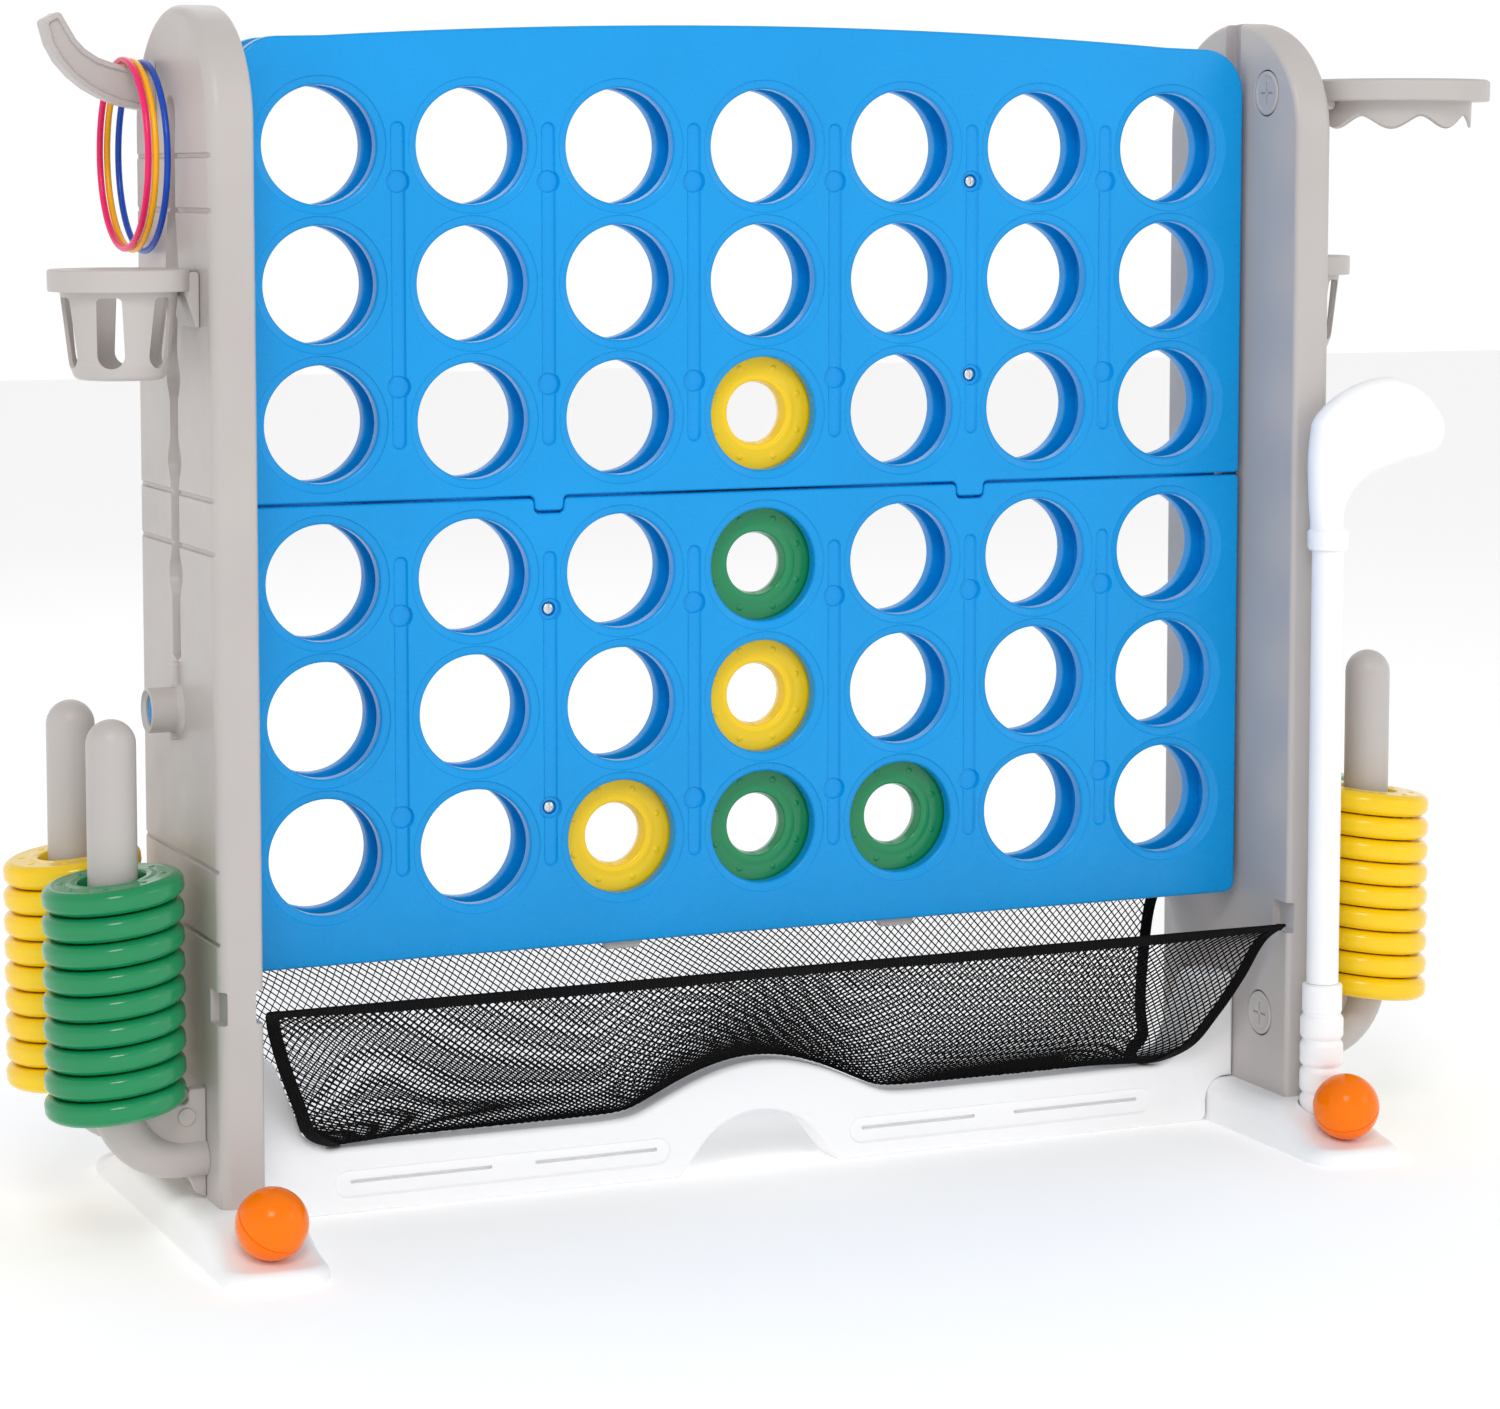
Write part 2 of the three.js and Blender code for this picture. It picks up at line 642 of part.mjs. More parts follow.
function railShape() {
  const clearance = 1;
  const footInner = FOOT_X - FOOT_HALF_WIDTH - clearance;
  const legInner = LEG_INNER_X - GAP;
  const shoulderZ = FOOT_CROWN - FOOT_SHOULDER;
  const radius = FOOT_SHOULDER + clearance;
  const shoulder = Array.from({ length: 5 }, (_, i) => {
    const angle = (i / 4) * QUARTER_TURN;
    const x = footInner + radius - Math.cos(angle) * radius;
    return [Math.min(x, legInner), shoulderZ + Math.sin(angle) * radius];
  });
  const post = Array.from({ length: 7 }, (_, i) => {
    const angle = (i / 6) * QUARTER_TURN;
    const x = RAIL_POST_X - Math.sin(angle) * (RAIL_POST_X - RAIL_POST_FOOT_X);
    const z = RAIL_POST_TOP - 8 - (1 - Math.cos(angle)) * (RAIL_POST_TOP - 8 - RAIL_HEIGHT);
    return [x, z];
  });
  const hump = Array.from({ length: 13 }, (_, i) => {
    const x = RAIL_HUMP_HALF_WIDTH * (1 - i / 6);
    return [x, railTop(x)];
  });
  const rightEnd = [
    [footInner, 0],
    ...shoulder,
    [legInner, shoulderZ + radius],
    [legInner, RAIL_POST_TOP],
    [RAIL_POST_X + 8, RAIL_POST_TOP],
    ...post,
  ];
  const leftEnd = rightEnd.map(([x, z]) => [-x, z]).reverse();
  return shapeOf([...archPoints(), ...rightEnd, ...hump, ...leftEnd]);
}

function goalRail() {
  return plateXZ(railShape(), -RAIL_HALF_THICKNESS, RAIL_HALF_THICKNESS);
}

// ---- Catch net --------------------------------------------------------------------------------------

// A point of the net's trough: station is the distance along its bottom, and v runs from -1 at
// the front edge to 1 at the rear edge. The trough rests on the rail and widens upwards.
function netPoint(station, v, inset) {
  const height = Math.abs(v);
  const widening = (NET_HALF_WIDTH - NET_FOOT_HALF_WIDTH) * height ** 2;
  const x = station * (1 + widening / NET_FOOT_HALF_WIDTH);
  const bottom = railTop(station) + 0.5 + inset;
  const y = Math.sign(v) * height ** NET_FLARE * (NET_HALF_DEPTH - inset);
  return [x, y, bottom + height * (NET_TOP - bottom)];
}

// A closed skin over two grids of points, the outer and the inner, joined along their rims.
function catchNet() {
  const left = NET_STATIONS.slice(1).reverse().map((x) => -x);
  const stations = [...left, ...NET_STATIONS];
  const columns = stations.length - 1;
  const rows = 8;
  const positions = [];
  for (const inset of [0, NET_WALL]) {
    for (const station of stations) {
      for (let j = 0; j <= rows; j++) {
        positions.push(...netPoint(station, (2 * j) / rows - 1, inset));
      }
    }
  }
  const inner = (columns + 1) * (rows + 1);
  const at = (i, j, layer) => layer * inner + i * (rows + 1) + j;
  const faces = [];
  const quad = (a, b, c, d) => faces.push(a, b, c, a, c, d);
  for (let i = 0; i < columns; i++) {
    for (let j = 0; j < rows; j++) {
      quad(at(i, j, 0), at(i, j + 1, 0), at(i + 1, j + 1, 0), at(i + 1, j, 0));
      quad(at(i, j, 1), at(i + 1, j, 1), at(i + 1, j + 1, 1), at(i, j + 1, 1));
    }
    quad(at(i, 0, 0), at(i + 1, 0, 0), at(i + 1, 0, 1), at(i, 0, 1));
    quad(at(i, rows, 0), at(i, rows, 1), at(i + 1, rows, 1), at(i + 1, rows, 0));
  }
  for (let j = 0; j < rows; j++) {
    quad(at(0, j, 0), at(0, j, 1), at(0, j + 1, 1), at(0, j + 1, 0));
    quad(at(columns, j, 0), at(columns, j + 1, 0), at(columns, j + 1, 1), at(columns, j, 1));
  }
  const geometry = new THREE.BufferGeometry();
  geometry.setAttribute("position", new THREE.Float32BufferAttribute(positions, 3));
  geometry.setIndex(faces);
  return solid(geometry);
}

// ---- Pieces hung on the legs ------------------------------------------------------------------------

// A peg, the elbow that carries it and the web with the shelf that the rings rest on.
function pegBracket(y) {
  const cap = Array.from({ length: 4 }, (_, i) => {
    const angle = (i / 3) * QUARTER_TURN;
    return [PEG_RADIUS * Math.cos(angle), PEG_TOP - PEG_RADIUS * (1 - Math.sin(angle))];
  });
  const post = turned([[0, ELBOW_Z - 2], [PEG_RADIUS, ELBOW_Z - 2], ...cap], 12, [-PEG_X, y, 0]);
  const radius = PEG_X - ELBOW_CENTRE_X;
  const steps = 5;
  const sections = Array.from({ length: steps + 1 }, (_, i) => {
    const angle = (i / steps) * QUARTER_TURN;
    const size = PEG_RADIUS + ((ELBOW_END_RADIUS - PEG_RADIUS) * i) / steps;
    const centre = [-ELBOW_CENTRE_X - radius * Math.cos(angle), y, ELBOW_Z - radius * Math.sin(angle)];
    return { angle, size, centre };
  });
  const last = sections[steps];
  const end = { ...last, centre: [-LEG_OUTER_X - GAP, y, last.centre[2]] };
  const elbow = swept([...sections, end], 12);
  const web = plateXZ(
    shapeOf([
      [-LEG_OUTER_X - GAP, last.centre[2]],
      [-LEG_OUTER_X - GAP, WEB_TOP],
      [-PEG_X + RING_RADIUS + 2, WEB_TOP],
      [-PEG_X + RING_RADIUS + 2, SHELF_Z],
      [-PEG_X + 2, SHELF_Z],
      [-ELBOW_CENTRE_X - radius * 0.9, last.centre[2] + 22],
      [-ELBOW_CENTRE_X - 10, last.centre[2]],
    ]),
    y - WEB_HALF_THICKNESS,
    y + WEB_HALF_THICKNESS,
  );
  return join([post, elbow, web]);
}

// A round tube through sections whose planes turn about the Y axis, closed at both ends.
function swept(sections, sides) {
  const positions = [];
  for (const { angle, size, centre } of sections) {
    for (let k = 0; k < sides; k++) {
      const around = (k / sides) * 2 * HALF_TURN;
      const out = size * Math.cos(around);
      positions.push(
        centre[0] - out * Math.cos(angle),
        centre[1] + size * Math.sin(around),
        centre[2] - out * Math.sin(angle),
      );
    }
  }
  const caps = [sections[0], sections[sections.length - 1]].map(({ centre }) => centre);
  positions.push(...caps.flat());
  const first = sections.length * sides;
  const faces = [];
  for (let i = 0; i + 1 < sections.length; i++) {
    for (let k = 0; k < sides; k++) {
      const [a, b] = [i * sides + k, i * sides + ((k + 1) % sides)];
      faces.push(a, b, b + sides, a, b + sides, a + sides);
    }
  }
  for (let k = 0; k < sides; k++) {
    const next = (k + 1) % sides;
    const top = (sections.length - 1) * sides;
    faces.push(first, next, k);
    faces.push(first + 1, top + k, top + next);
  }
  const geometry = new THREE.BufferGeometry();
  geometry.setAttribute("position", new THREE.Float32BufferAttribute(positions, 3));
  geometry.setIndex(faces);
  return solid(geometry);
}

function pegParts(name, y, material) {
  return [part(`${name}_peg`, pegBracket(y), LEG_GREY), stackPart(name, y, material)];
}

// A curved arm that tapers to an upturned tip, with a flange against the leg.
function tossHook() {
  const root = LEG_OUTER_X + GAP;
  const shape = new THREE.Shape();
  shape.moveTo(-root, 938);
  shape.lineTo(-root, 973.6);
  shape.bezierCurveTo(-548, 976.5, -584, 978, -596, 1008);
  shape.quadraticCurveTo(-602, 1021, -608.5, 1021);
  shape.quadraticCurveTo(-620, 1017, -619, 1008);
  shape.bezierCurveTo(-612, 968, -580, 943, -root, 938);
  const arm = plateXZ(shape, HOOK_Y - HOOK_HALF_DEPTH, HOOK_Y + HOOK_HALF_DEPTH, 0, 8);
  const flange = block(
    [-root - 4, HOOK_Y - HOOK_HALF_DEPTH - 5, 930],
    [-root, HOOK_Y + HOOK_HALF_DEPTH + 5, 981],
  );
  return arm.add(flange);
}

function tossRing() {
  const geometry = new THREE.TorusGeometry(TOSS_RING_RADIUS, TOSS_TUBE_RADIUS, 5, 24);
  return solid(geometry.rotateY(QUARTER_TURN));
}

function tossRingParts() {
  return TOSS_RINGS.map(({ name, x, z, color }) => {
    const mesh = part(name, tossRing(), plastic(color, 0.35));
    mesh.position.set(-x, HOOK_Y, z);
    return mesh;
  });
}

function cupHolder() {
  const [rimLow, rimHigh] = CUP_RIM_Z;
  const bore = CUP_TOP_RADIUS - CUP_WALL;
  const bowl = turned(
    [
      [0, CUP_FOOT_Z],
      [CUP_FOOT_RADIUS - 6, CUP_FOOT_Z],
      [CUP_FOOT_RADIUS, CUP_FOOT_Z + 8],
      [CUP_TOP_RADIUS, rimLow],
      [CUP_RIM_RADIUS, rimLow],
      [CUP_RIM_RADIUS, rimHigh],
      [bore, rimHigh],
      [bore, rimLow],
      [CUP_FOOT_RADIUS - CUP_WALL, CUP_FOOT_Z + 9],
      [CUP_FOOT_RADIUS - 8, CUP_FOOT_Z + CUP_WALL],
      [0, CUP_FOOT_Z + CUP_WALL],
    ],
    18,
    [-CUP_X, CUP_Y, 0],
  );
  const slots = Array.from({ length: CUP_SLOTS }, (_, i) => cupSlot((i + 0.5) * (360 / CUP_SLOTS)));
  const wedge = plateXZ(
    shapeOf([
      [-LEG_OUTER_X - GAP, rimLow - 30],
      [-LEG_OUTER_X - GAP, rimHigh - 2],
      [-CUP_X + CUP_TOP_RADIUS + 2, rimHigh - 2],
      [-CUP_X + CUP_TOP_RADIUS + 2, rimLow + 1],
      [-CUP_X + CUP_RIM_RADIUS, rimLow - 2],
    ]),
    CUP_Y - 25,
    CUP_Y + 25,
  );
  const gap = turned([[0, rimLow], [bore, rimLow], [bore, rimHigh + 1], [0, rimHigh + 1]], 18, [
    -CUP_X,
    CUP_Y,
    0,
  ]);
  return cut(cut(bowl, slots).add(wedge), [gap]);
}

// One window in the cup's wall, at an angle round the cup.
function cupSlot(degrees) {
  const [low, high] = CUP_SLOT_Z;
  const half = CUP_SLOT_WIDTH / 2;
  const window = block([CUP_FOOT_RADIUS - 12, -half, low], [CUP_RIM_RADIUS, half, high]);
  return window.rotate([0, 0, degrees]).translate([-CUP_X, CUP_Y, 0]);
}

// The hoop, drawn in place on the right leg: a flat rim, a short skirt and a block to the leg.
function hoop() {
  const [low, high] = HOOP_RIM_Z;
  const skirt = HOOP_BORE + HOOP_WALL;
  const profile = [
    [HOOP_BORE, HOOP_SKIRT_Z],
    [skirt, HOOP_SKIRT_Z],
    [skirt, low],
    [HOOP_RIM_RADIUS, low],
    [HOOP_RIM_RADIUS, high],
    [HOOP_BORE, high],
    [HOOP_BORE, HOOP_SKIRT_Z],
  ];
  const rim = turned(profile, 24, [HOOP_X, HOOP_Y, 0]);
  const arm = block(
    [LEG_OUTER_X + GAP, HOOP_Y - 22, HOOP_SKIRT_Z],
    [HOOP_X - skirt + 1, HOOP_Y + 22, high - 2],
  );
  const bore = bar("z", HOOP_BORE, 60, [HOOP_X, HOOP_Y, low], 24);
  return rim.add(cut(arm, [bore]));
}

// ---- Loose pieces -----------------------------------------------------------------------------------

function stickGrip() {
  const neck = 14;
  const profile = [[0, STICK_FOOT_Z], [17, STICK_FOOT_Z]];
  const bead = (low, high, radius) => {
    const rise = (high - low) / 4;
    profile.push([radius, low + rise], [radius, high - rise], [neck + 2.5, high]);
  };
  bead(STICK_FOOT_Z + 1, 46, 19.8);
  bead(46, 70, 20);
  bead(70, 92, 20);
  bead(92, 114, 20);
  profile.push([18.3, 116], [18.3, GRIP_TOP], [0, GRIP_TOP]);
  return turned(profile, 12, [STICK_X, STICK_Y, 0]);
}

function stickShaft() {
  const length = SHAFT_TOP - GRIP_TOP - 2 * GAP;
  const middle = (SHAFT_TOP + GRIP_TOP) / 2;
  return bar("z", SHAFT_RADIUS, length, [STICK_X, STICK_Y, middle], 12);
}

// The blade on top of the shaft: a broad curved plate that narrows into a round neck.
function stickHead() {
  const shape = new THREE.Shape();
  const at = (x, z) => [STICK_X + x, z];
  shape.moveTo(...at(-14.5, SHAFT_TOP + 16));
  shape.lineTo(...at(14.5, SHAFT_TOP + 16));
  shape.bezierCurveTo(...at(16, 608), ...at(42, 622), ...at(76, 630));
  shape.bezierCurveTo(...at(108, 636), ...at(118, 650), ...at(112, 668));
  shape.bezierCurveTo(...at(104, 694), ...at(72, 706), ...at(56, 704));
  shape.bezierCurveTo(...at(22, 704), ...at(-8, 688), ...at(-10, 650));
  const blade = plateXZ(shape, STICK_Y - 13, STICK_Y + 13, 5, 4);
  const collar = turned(
    [
      [0, SHAFT_TOP],
      [17, SHAFT_TOP],
      [18, SHAFT_TOP + 9],
      [17, SHAFT_TOP + 19],
      [0, SHAFT_TOP + 22],
    ],
    12,
    [STICK_X, STICK_Y, 0],
  );
  return blade.add(collar);
}

function ballParts() {
  return [-1, 1].map((side) => {
    const geometry = new THREE.SphereGeometry(BALL_RADIUS, 14, 10);
    const name = side < 0 ? "left_ball" : "right_ball";
    const mesh = part(name, solid(geometry), BALL_ORANGE);
    mesh.position.set(side * FOOT_X, -BALL_Y, BALL_Z);
    return mesh;
  });
}

// ---- Assembly -----------------------------------------------------------------------------------------

// Everything that both ends share, drawn for the left end.
function endGroup(side, frontMaterial, rearMaterial) {
  const group = new THREE.Group();
  group.add(part(`${side}_leg`, leg(), LEG_GREY));
  group.add(part(`${side}_foot`, foot(), WHITE));
  group.add(part(`${side}_cup_holder`, cupHolder(), LEG_GREY));
  const plug = bar("x", BOSS_BORE - GAP, PLUG_LENGTH, [0, 0, 0], 12);
  const plugMesh = part(`${side}_boss_plug`, plug, BOARD_BLUE);
  plugMesh.position.set(-LEG_OUTER_X - BOSS_LENGTH + PLUG_LENGTH / 2 + 5, 0, BOSS_Z);
  group.add(plugMesh);
  const turnedRound = side === "right";
  const nearName = turnedRound ? "rear" : "front";
  const farName = turnedRound ? "front" : "rear";
  const capNames = { upper: "upper", far: farName, near: nearName };
  for (const { place, y, z } of CAP_PLACES) {
    const cap = part(`${side}_${capNames[place]}_cap`, legCap(), LEG_GREY);
    cap.position.set(-LEG_INNER_X, y, z);
    group.add(cap);
  }
  group.add(...pegParts(`${side}_${nearName}`, -PEG_Y, frontMaterial));
  group.add(...pegParts(`${side}_${farName}`, PEG_Y, rearMaterial));
  return group;
}

function game() {
  const assembly = new THREE.Group();
  assembly.add(boardFace("front", BOARD_BLUE));
  const rear = boardFace("rear", BOARD_BLUE);
  rear.rotation.z = HALF_TURN;
  assembly.add(rear);
  assembly.add(endGroup("left", RING_GREEN, RING_YELLOW));
  const right = endGroup("right", RING_GREEN, RING_YELLOW);
  right.rotation.z = HALF_TURN;
  assembly.add(right);
  assembly.add(part("goal_rail", goalRail(), WHITE));
  assembly.add(part("catch_net", catchNet(), NET_BLACK));
  assembly.add(part("right_release_slider", releaseSlider(), LEG_GREY));
  assembly.add(part("left_release_slider", releaseSlider().mirror([1, 0, 0]), LEG_GREY));
  assembly.add(part("toss_hook", tossHook(), LEG_GREY));
  assembly.add(...tossRingParts());
  assembly.add(part("hoop", hoop(), LEG_GREY));
  assembly.add(part("stick_grip", stickGrip(), WHITE));
  assembly.add(part("stick_shaft", stickShaft(), WHITE));
  assembly.add(part("stick_head", stickHead(), WHITE));
  assembly.add(...ballParts());
  assembly.add(boardRing("board_ring_3_6", 3, 6, RING_YELLOW));
  assembly.add(boardRing("board_ring_4_6", 4, 6, RING_GREEN));
  assembly.add(boardRing("board_ring_4_5", 4, 5, RING_YELLOW));
  assembly.add(boardRing("board_ring_4_4", 4, 4, RING_GREEN));
  assembly.add(boardRing("board_ring_4_3", 4, 3, RING_YELLOW));
  assembly.add(boardRing("board_ring_5_6", 5, 6, RING_GREEN));
  assembly.position.x = -BOX_CENTRE_X;
  const root = new THREE.Group();
  root.add(assembly);
  return root;
}

const group = game();
export default group;
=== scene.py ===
import math

import bmesh
import bpy
import numpy as np
from mathutils import Matrix, Vector
from mathutils.geometry import delaunay_2d_cdt


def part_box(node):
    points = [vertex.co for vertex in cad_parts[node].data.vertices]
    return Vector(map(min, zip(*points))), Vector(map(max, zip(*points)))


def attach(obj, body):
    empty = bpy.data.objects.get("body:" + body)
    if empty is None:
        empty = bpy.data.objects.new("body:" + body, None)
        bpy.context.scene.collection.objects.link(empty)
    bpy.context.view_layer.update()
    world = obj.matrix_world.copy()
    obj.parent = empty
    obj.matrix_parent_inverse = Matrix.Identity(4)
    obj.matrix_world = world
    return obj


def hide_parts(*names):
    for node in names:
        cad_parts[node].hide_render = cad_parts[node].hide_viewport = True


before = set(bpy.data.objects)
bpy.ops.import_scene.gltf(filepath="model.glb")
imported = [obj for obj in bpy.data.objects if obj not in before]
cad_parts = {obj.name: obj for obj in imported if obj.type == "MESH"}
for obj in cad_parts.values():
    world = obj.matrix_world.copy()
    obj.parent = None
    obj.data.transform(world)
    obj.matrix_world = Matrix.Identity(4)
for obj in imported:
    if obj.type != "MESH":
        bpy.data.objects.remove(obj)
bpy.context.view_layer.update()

# The looks of a giant four in a row: a lawn game with a slotted board between two end legs.
# Pieces are drawn in millimetres about the middle of the board and placed in the frame in metres.
# The left and right ends are the same mouldings turned half a turn about the vertical.

# ---- Driving dimensions, in millimetres --------------------------------------------------------

MM = 0.001
BOARD_X = (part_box("left_leg")[0].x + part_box("right_leg")[1].x) / 2
HOME = Matrix.Translation((BOARD_X, 0, 0))
TURNED = HOME @ Matrix.Rotation(math.pi, 4, "Z")
ENDS = (("left", HOME), ("right", TURNED))

COLUMNS = 7
COLUMN_PITCH = 135
ROW_PITCH = 116.7
SEAM_Z = 611
SEAM_HALF_GAP = 1
SEAM_ROW_OFFSET = 66.75
HOLE_RADIUS = 49.7
BOARD_HALF_WIDTH = 481.5
BOARD_BOTTOM = 218
BOARD_SHOULDER = 1000
BOARD_CROWN = 1015.6
SLOT_HALF_WIDTH = 13
PANEL_THICKNESS = 16
PANEL_FACE = SLOT_HALF_WIDTH + PANEL_THICKNESS
SCREW_ROW_OFFSET = 86.4
SCREW_X = 202.5

RING_RADIUS = 58.2
RING_THICKNESS = 21.3
RING_PITCH = 21.6
RINGS_ON_PEG = 9
RING_LEAN = 6.5

LEG_INNER_X = 487
LEG_THICKNESS = 38
LEG_OUTER_X = LEG_INNER_X + LEG_THICKNESS
LEG_FACE = LEG_OUTER_X + 0.3
LEG_HALF_DEPTH = 115
LEG_FOOT_Z = 28
LEG_DOME_Z = 926
LEG_DOME_HEIGHT = 100
BOSS_Z = 441
BOSS_REACH = 552
CAP_PLACES = ((60, 961), (67, 110), (-67, 110))

FOOT_X = 505
FOOT_HALF_WIDTH = 45
FOOT_HALF_LENGTH = 227
FOOT_CROWN = 40
FOOT_TOE = 14.5

RAIL_HALF_THICKNESS = 22
RAIL_HEIGHT = 57.5

PEG_X = 600
PEG_Y = 67
PEG_RADIUS = 20.5
PEG_TOP = 445
STACK_Z = 120.9

HOOK_Y = 60
CUP_CENTRE = (-585.5, -58)
HOOP_CENTRE = (621, -60)
STICK_CENTRE = (510, -139)
GRIP_TOP = 150
BALL_Y = 190
BALL_Z = 46
BALL_RADIUS = 30

NET_TOP_Z = 201
NET_FLAT = (0.96, 0.37)


# ---- Camera, floor and light, in metres and degrees --------------------------------------------

CAMERA_PLACE = (BOARD_X - 1.4075, -3.1944, 0.883)
CAMERA_TURN = (90 - 5.2, 0, -23.54)
CAMERA_LENS = 94.82
CAMERA_SHIFT = (0.0098, -0.1107)
LAMP_TARGET = (0, 0, 0.5)
# Each lamp's place, width, power and colour.
LAMPS = {"key": ((-1.7, -3.6, 3.6), 1.5, 58, (1, 1, 1)),
         "fill": ((3.4, -3.2, 2.2), 2.0, 14, (0.95, 0.97, 1.0)),
         "back": ((0.5, 3.8, 3.4), 2.6, 16, (1, 1, 1))}
FLOOR_REACH = 14
SKY_AT_HORIZON, SKY_ABOVE = 1.02, 0.66


def linked(name, data):
    thing = bpy.data.objects.new(name, data)
    bpy.context.collection.objects.link(thing)
    return thing


def make_camera():
    camera = linked("camera", bpy.data.cameras.new("camera"))
    camera.location = CAMERA_PLACE
    camera.rotation_euler = [math.radians(angle) for angle in CAMERA_TURN]
    camera.data.sensor_width = 36
    camera.data.lens = CAMERA_LENS
    camera.data.shift_x, camera.data.shift_y = CAMERA_SHIFT
    camera.data.clip_end = 60
    bpy.context.scene.camera = camera


def make_lamps():
    for name, (location, size, power, colour) in LAMPS.items():
        light = bpy.data.lights.new(name, "AREA")
        light.size = size
        light.energy = power
        light.color = colour
        lamp = linked(name, light)
        lamp.location = location
        aim = Vector(LAMP_TARGET) - Vector(location)
        lamp.rotation_euler = aim.to_track_quat("-Z", "Y").to_euler()


def make_sky():
    """A white world, brightest at the horizon."""
    bpy.context.scene.view_settings.view_transform = "Standard"
    world = bpy.data.worlds.new("studio")
    world.use_nodes = True
    tree = world.node_tree
    coords = tree.nodes.new("ShaderNodeTexCoord").outputs["Generated"]
    split = wire(tree, tree.nodes.new("ShaderNodeSeparateXYZ"), {}, {"Vector": coords})
    glow = ranged(tree, split.outputs["Z"], SKY_AT_HORIZON, SKY_ABOVE, 0.12, 0.6)
    wire(tree, tree.nodes["Background"], {"Color": (1, 1, 1, 1)}, {"Strength": glow})
    bpy.context.scene.world = world


def make_floor():
    floor = bpy.data.meshes.new("floor")
    corners = [(x * FLOOR_REACH, y * FLOOR_REACH, 0) for x, y in ((-1, -1), (1, -1), (1, 1), (-1, 1))]
    floor.from_pydata(corners, [], [(0, 1, 2, 3)])
    ground = linked("floor", floor)
    material, tree, shader = new_material("floor_white")
    wire(tree, shader, {"Base Color": (0.95, 0.95, 0.95, 1), "Roughness": 0.7, "Specular IOR Level": 0.1,
                        "Emission Color": (1, 1, 1, 1), "Emission Strength": 0.23}, {})
    floor.materials.append(material)


# ---- Materials ---------------------------------------------------------------------------------

def new_material(name):
    material = bpy.data.materials.new(name)
    material.use_nodes = True
    return material, material.node_tree, material.node_tree.nodes["Principled BSDF"]


def object_coords(tree):
    return tree.nodes.new("ShaderNodeTexCoord").outputs["Object"]


def linear(colour, factor):
    """A display colour of 0 to 255 as scene-linear red, green, blue and alpha, times a factor."""
    parts = [c / 255 for c in colour]
    return [factor * (p / 12.92 if p <= 0.04045 else ((p + 0.055) / 1.055) ** 2.4) for p in parts] + [1]


def wire(tree, node, values, links):
    """Sets some of a node's inputs to values and joins others to sockets."""
    for name, value in values.items():
        node.inputs[name].default_value = value
    for name, socket in links.items():
        tree.links.new(socket, node.inputs[name])
    return node


def noise(tree, coords, scale, detail=2.0, roughness=0.5):
    values = {"Scale": scale, "Detail": detail, "Roughness": roughness}
    return wire(tree, tree.nodes.new("ShaderNodeTexNoise"), values, {"Vector": coords}).outputs["Fac"]


def ranged(tree, value, low, high, start=0.3, end=0.7):
    values = {"From Min": start, "From Max": end, "To Min": low, "To Max": high}
    return wire(tree, tree.nodes.new("ShaderNodeMapRange"), values, {"Value": value}).outputs["Result"]


def bump(tree, height, distance, strength=1.0, under=None):
    links = {"Height": height, "Normal": under} if under else {"Height": height}
    values = {"Distance": distance, "Strength": strength}
    return wire(tree, tree.nodes.new("ShaderNodeBump"), values, links).outputs["Normal"]


def mixed(tree, factor, first, second):
    node = tree.nodes.new("ShaderNodeMix")
    node.data_type = "RGBA"
    return wire(tree, node, {6: first, 7: second}, {0: factor}).outputs[2]


def plastic(name, display, roughness, coat=0.0, mottle=0.04, ripple=0.0005, shine=0.35):
    """Moulded plastic: faint clouds in its colour and gloss, a fine texture and a slow ripple."""
    material, tree, shader = new_material(name)
    coords = object_coords(tree)
    clouds = ranged(tree, noise(tree, coords, 7, 3), 0, 1)
    gloss = noise(tree, coords, 38, 3)
    slow = bump(tree, noise(tree, coords, 11, 1), ripple, 0.6)
    wire(tree, shader, {"Specular IOR Level": shine, "Coat Weight": coat, "Coat Roughness": 0.08},
         {"Base Color": mixed(tree, clouds, linear(display, 1 - mottle), linear(display, 1 + mottle)),
          "Roughness": ranged(tree, gloss, roughness - 0.045, roughness + 0.045),
          "Normal": bump(tree, noise(tree, coords, 700, 2), 0.00003, 0.7, slow)})
    return material


def steel(name):
    """Plated steel with fine turned scratches."""
    material, tree, shader = new_material(name)
    fine = noise(tree, object_coords(tree), 2200, 3)
    wire(tree, shader, {"Metallic": 1},
         {"Base Color": mixed(tree, fine, [0.55, 0.56, 0.58, 1], [0.82, 0.83, 0.85, 1]),
          "Roughness": ranged(tree, fine, 0.2, 0.36), "Normal": bump(tree, fine, 0.00002)})
    return material


def net_thread(name):
    """Black twisted polyester thread."""
    material, tree, shader = new_material(name)
    fibres = noise(tree, object_coords(tree), 1500, 3, 0.7)
    wire(tree, shader, {"Specular IOR Level": 0.1},
         {"Base Color": mixed(tree, fibres, [0.001, 0.001, 0.001, 1], [0.008, 0.008, 0.008, 1]),
          "Roughness": ranged(tree, fibres, 0.62, 0.85), "Normal": bump(tree, fibres, 0.0002)})
    return material


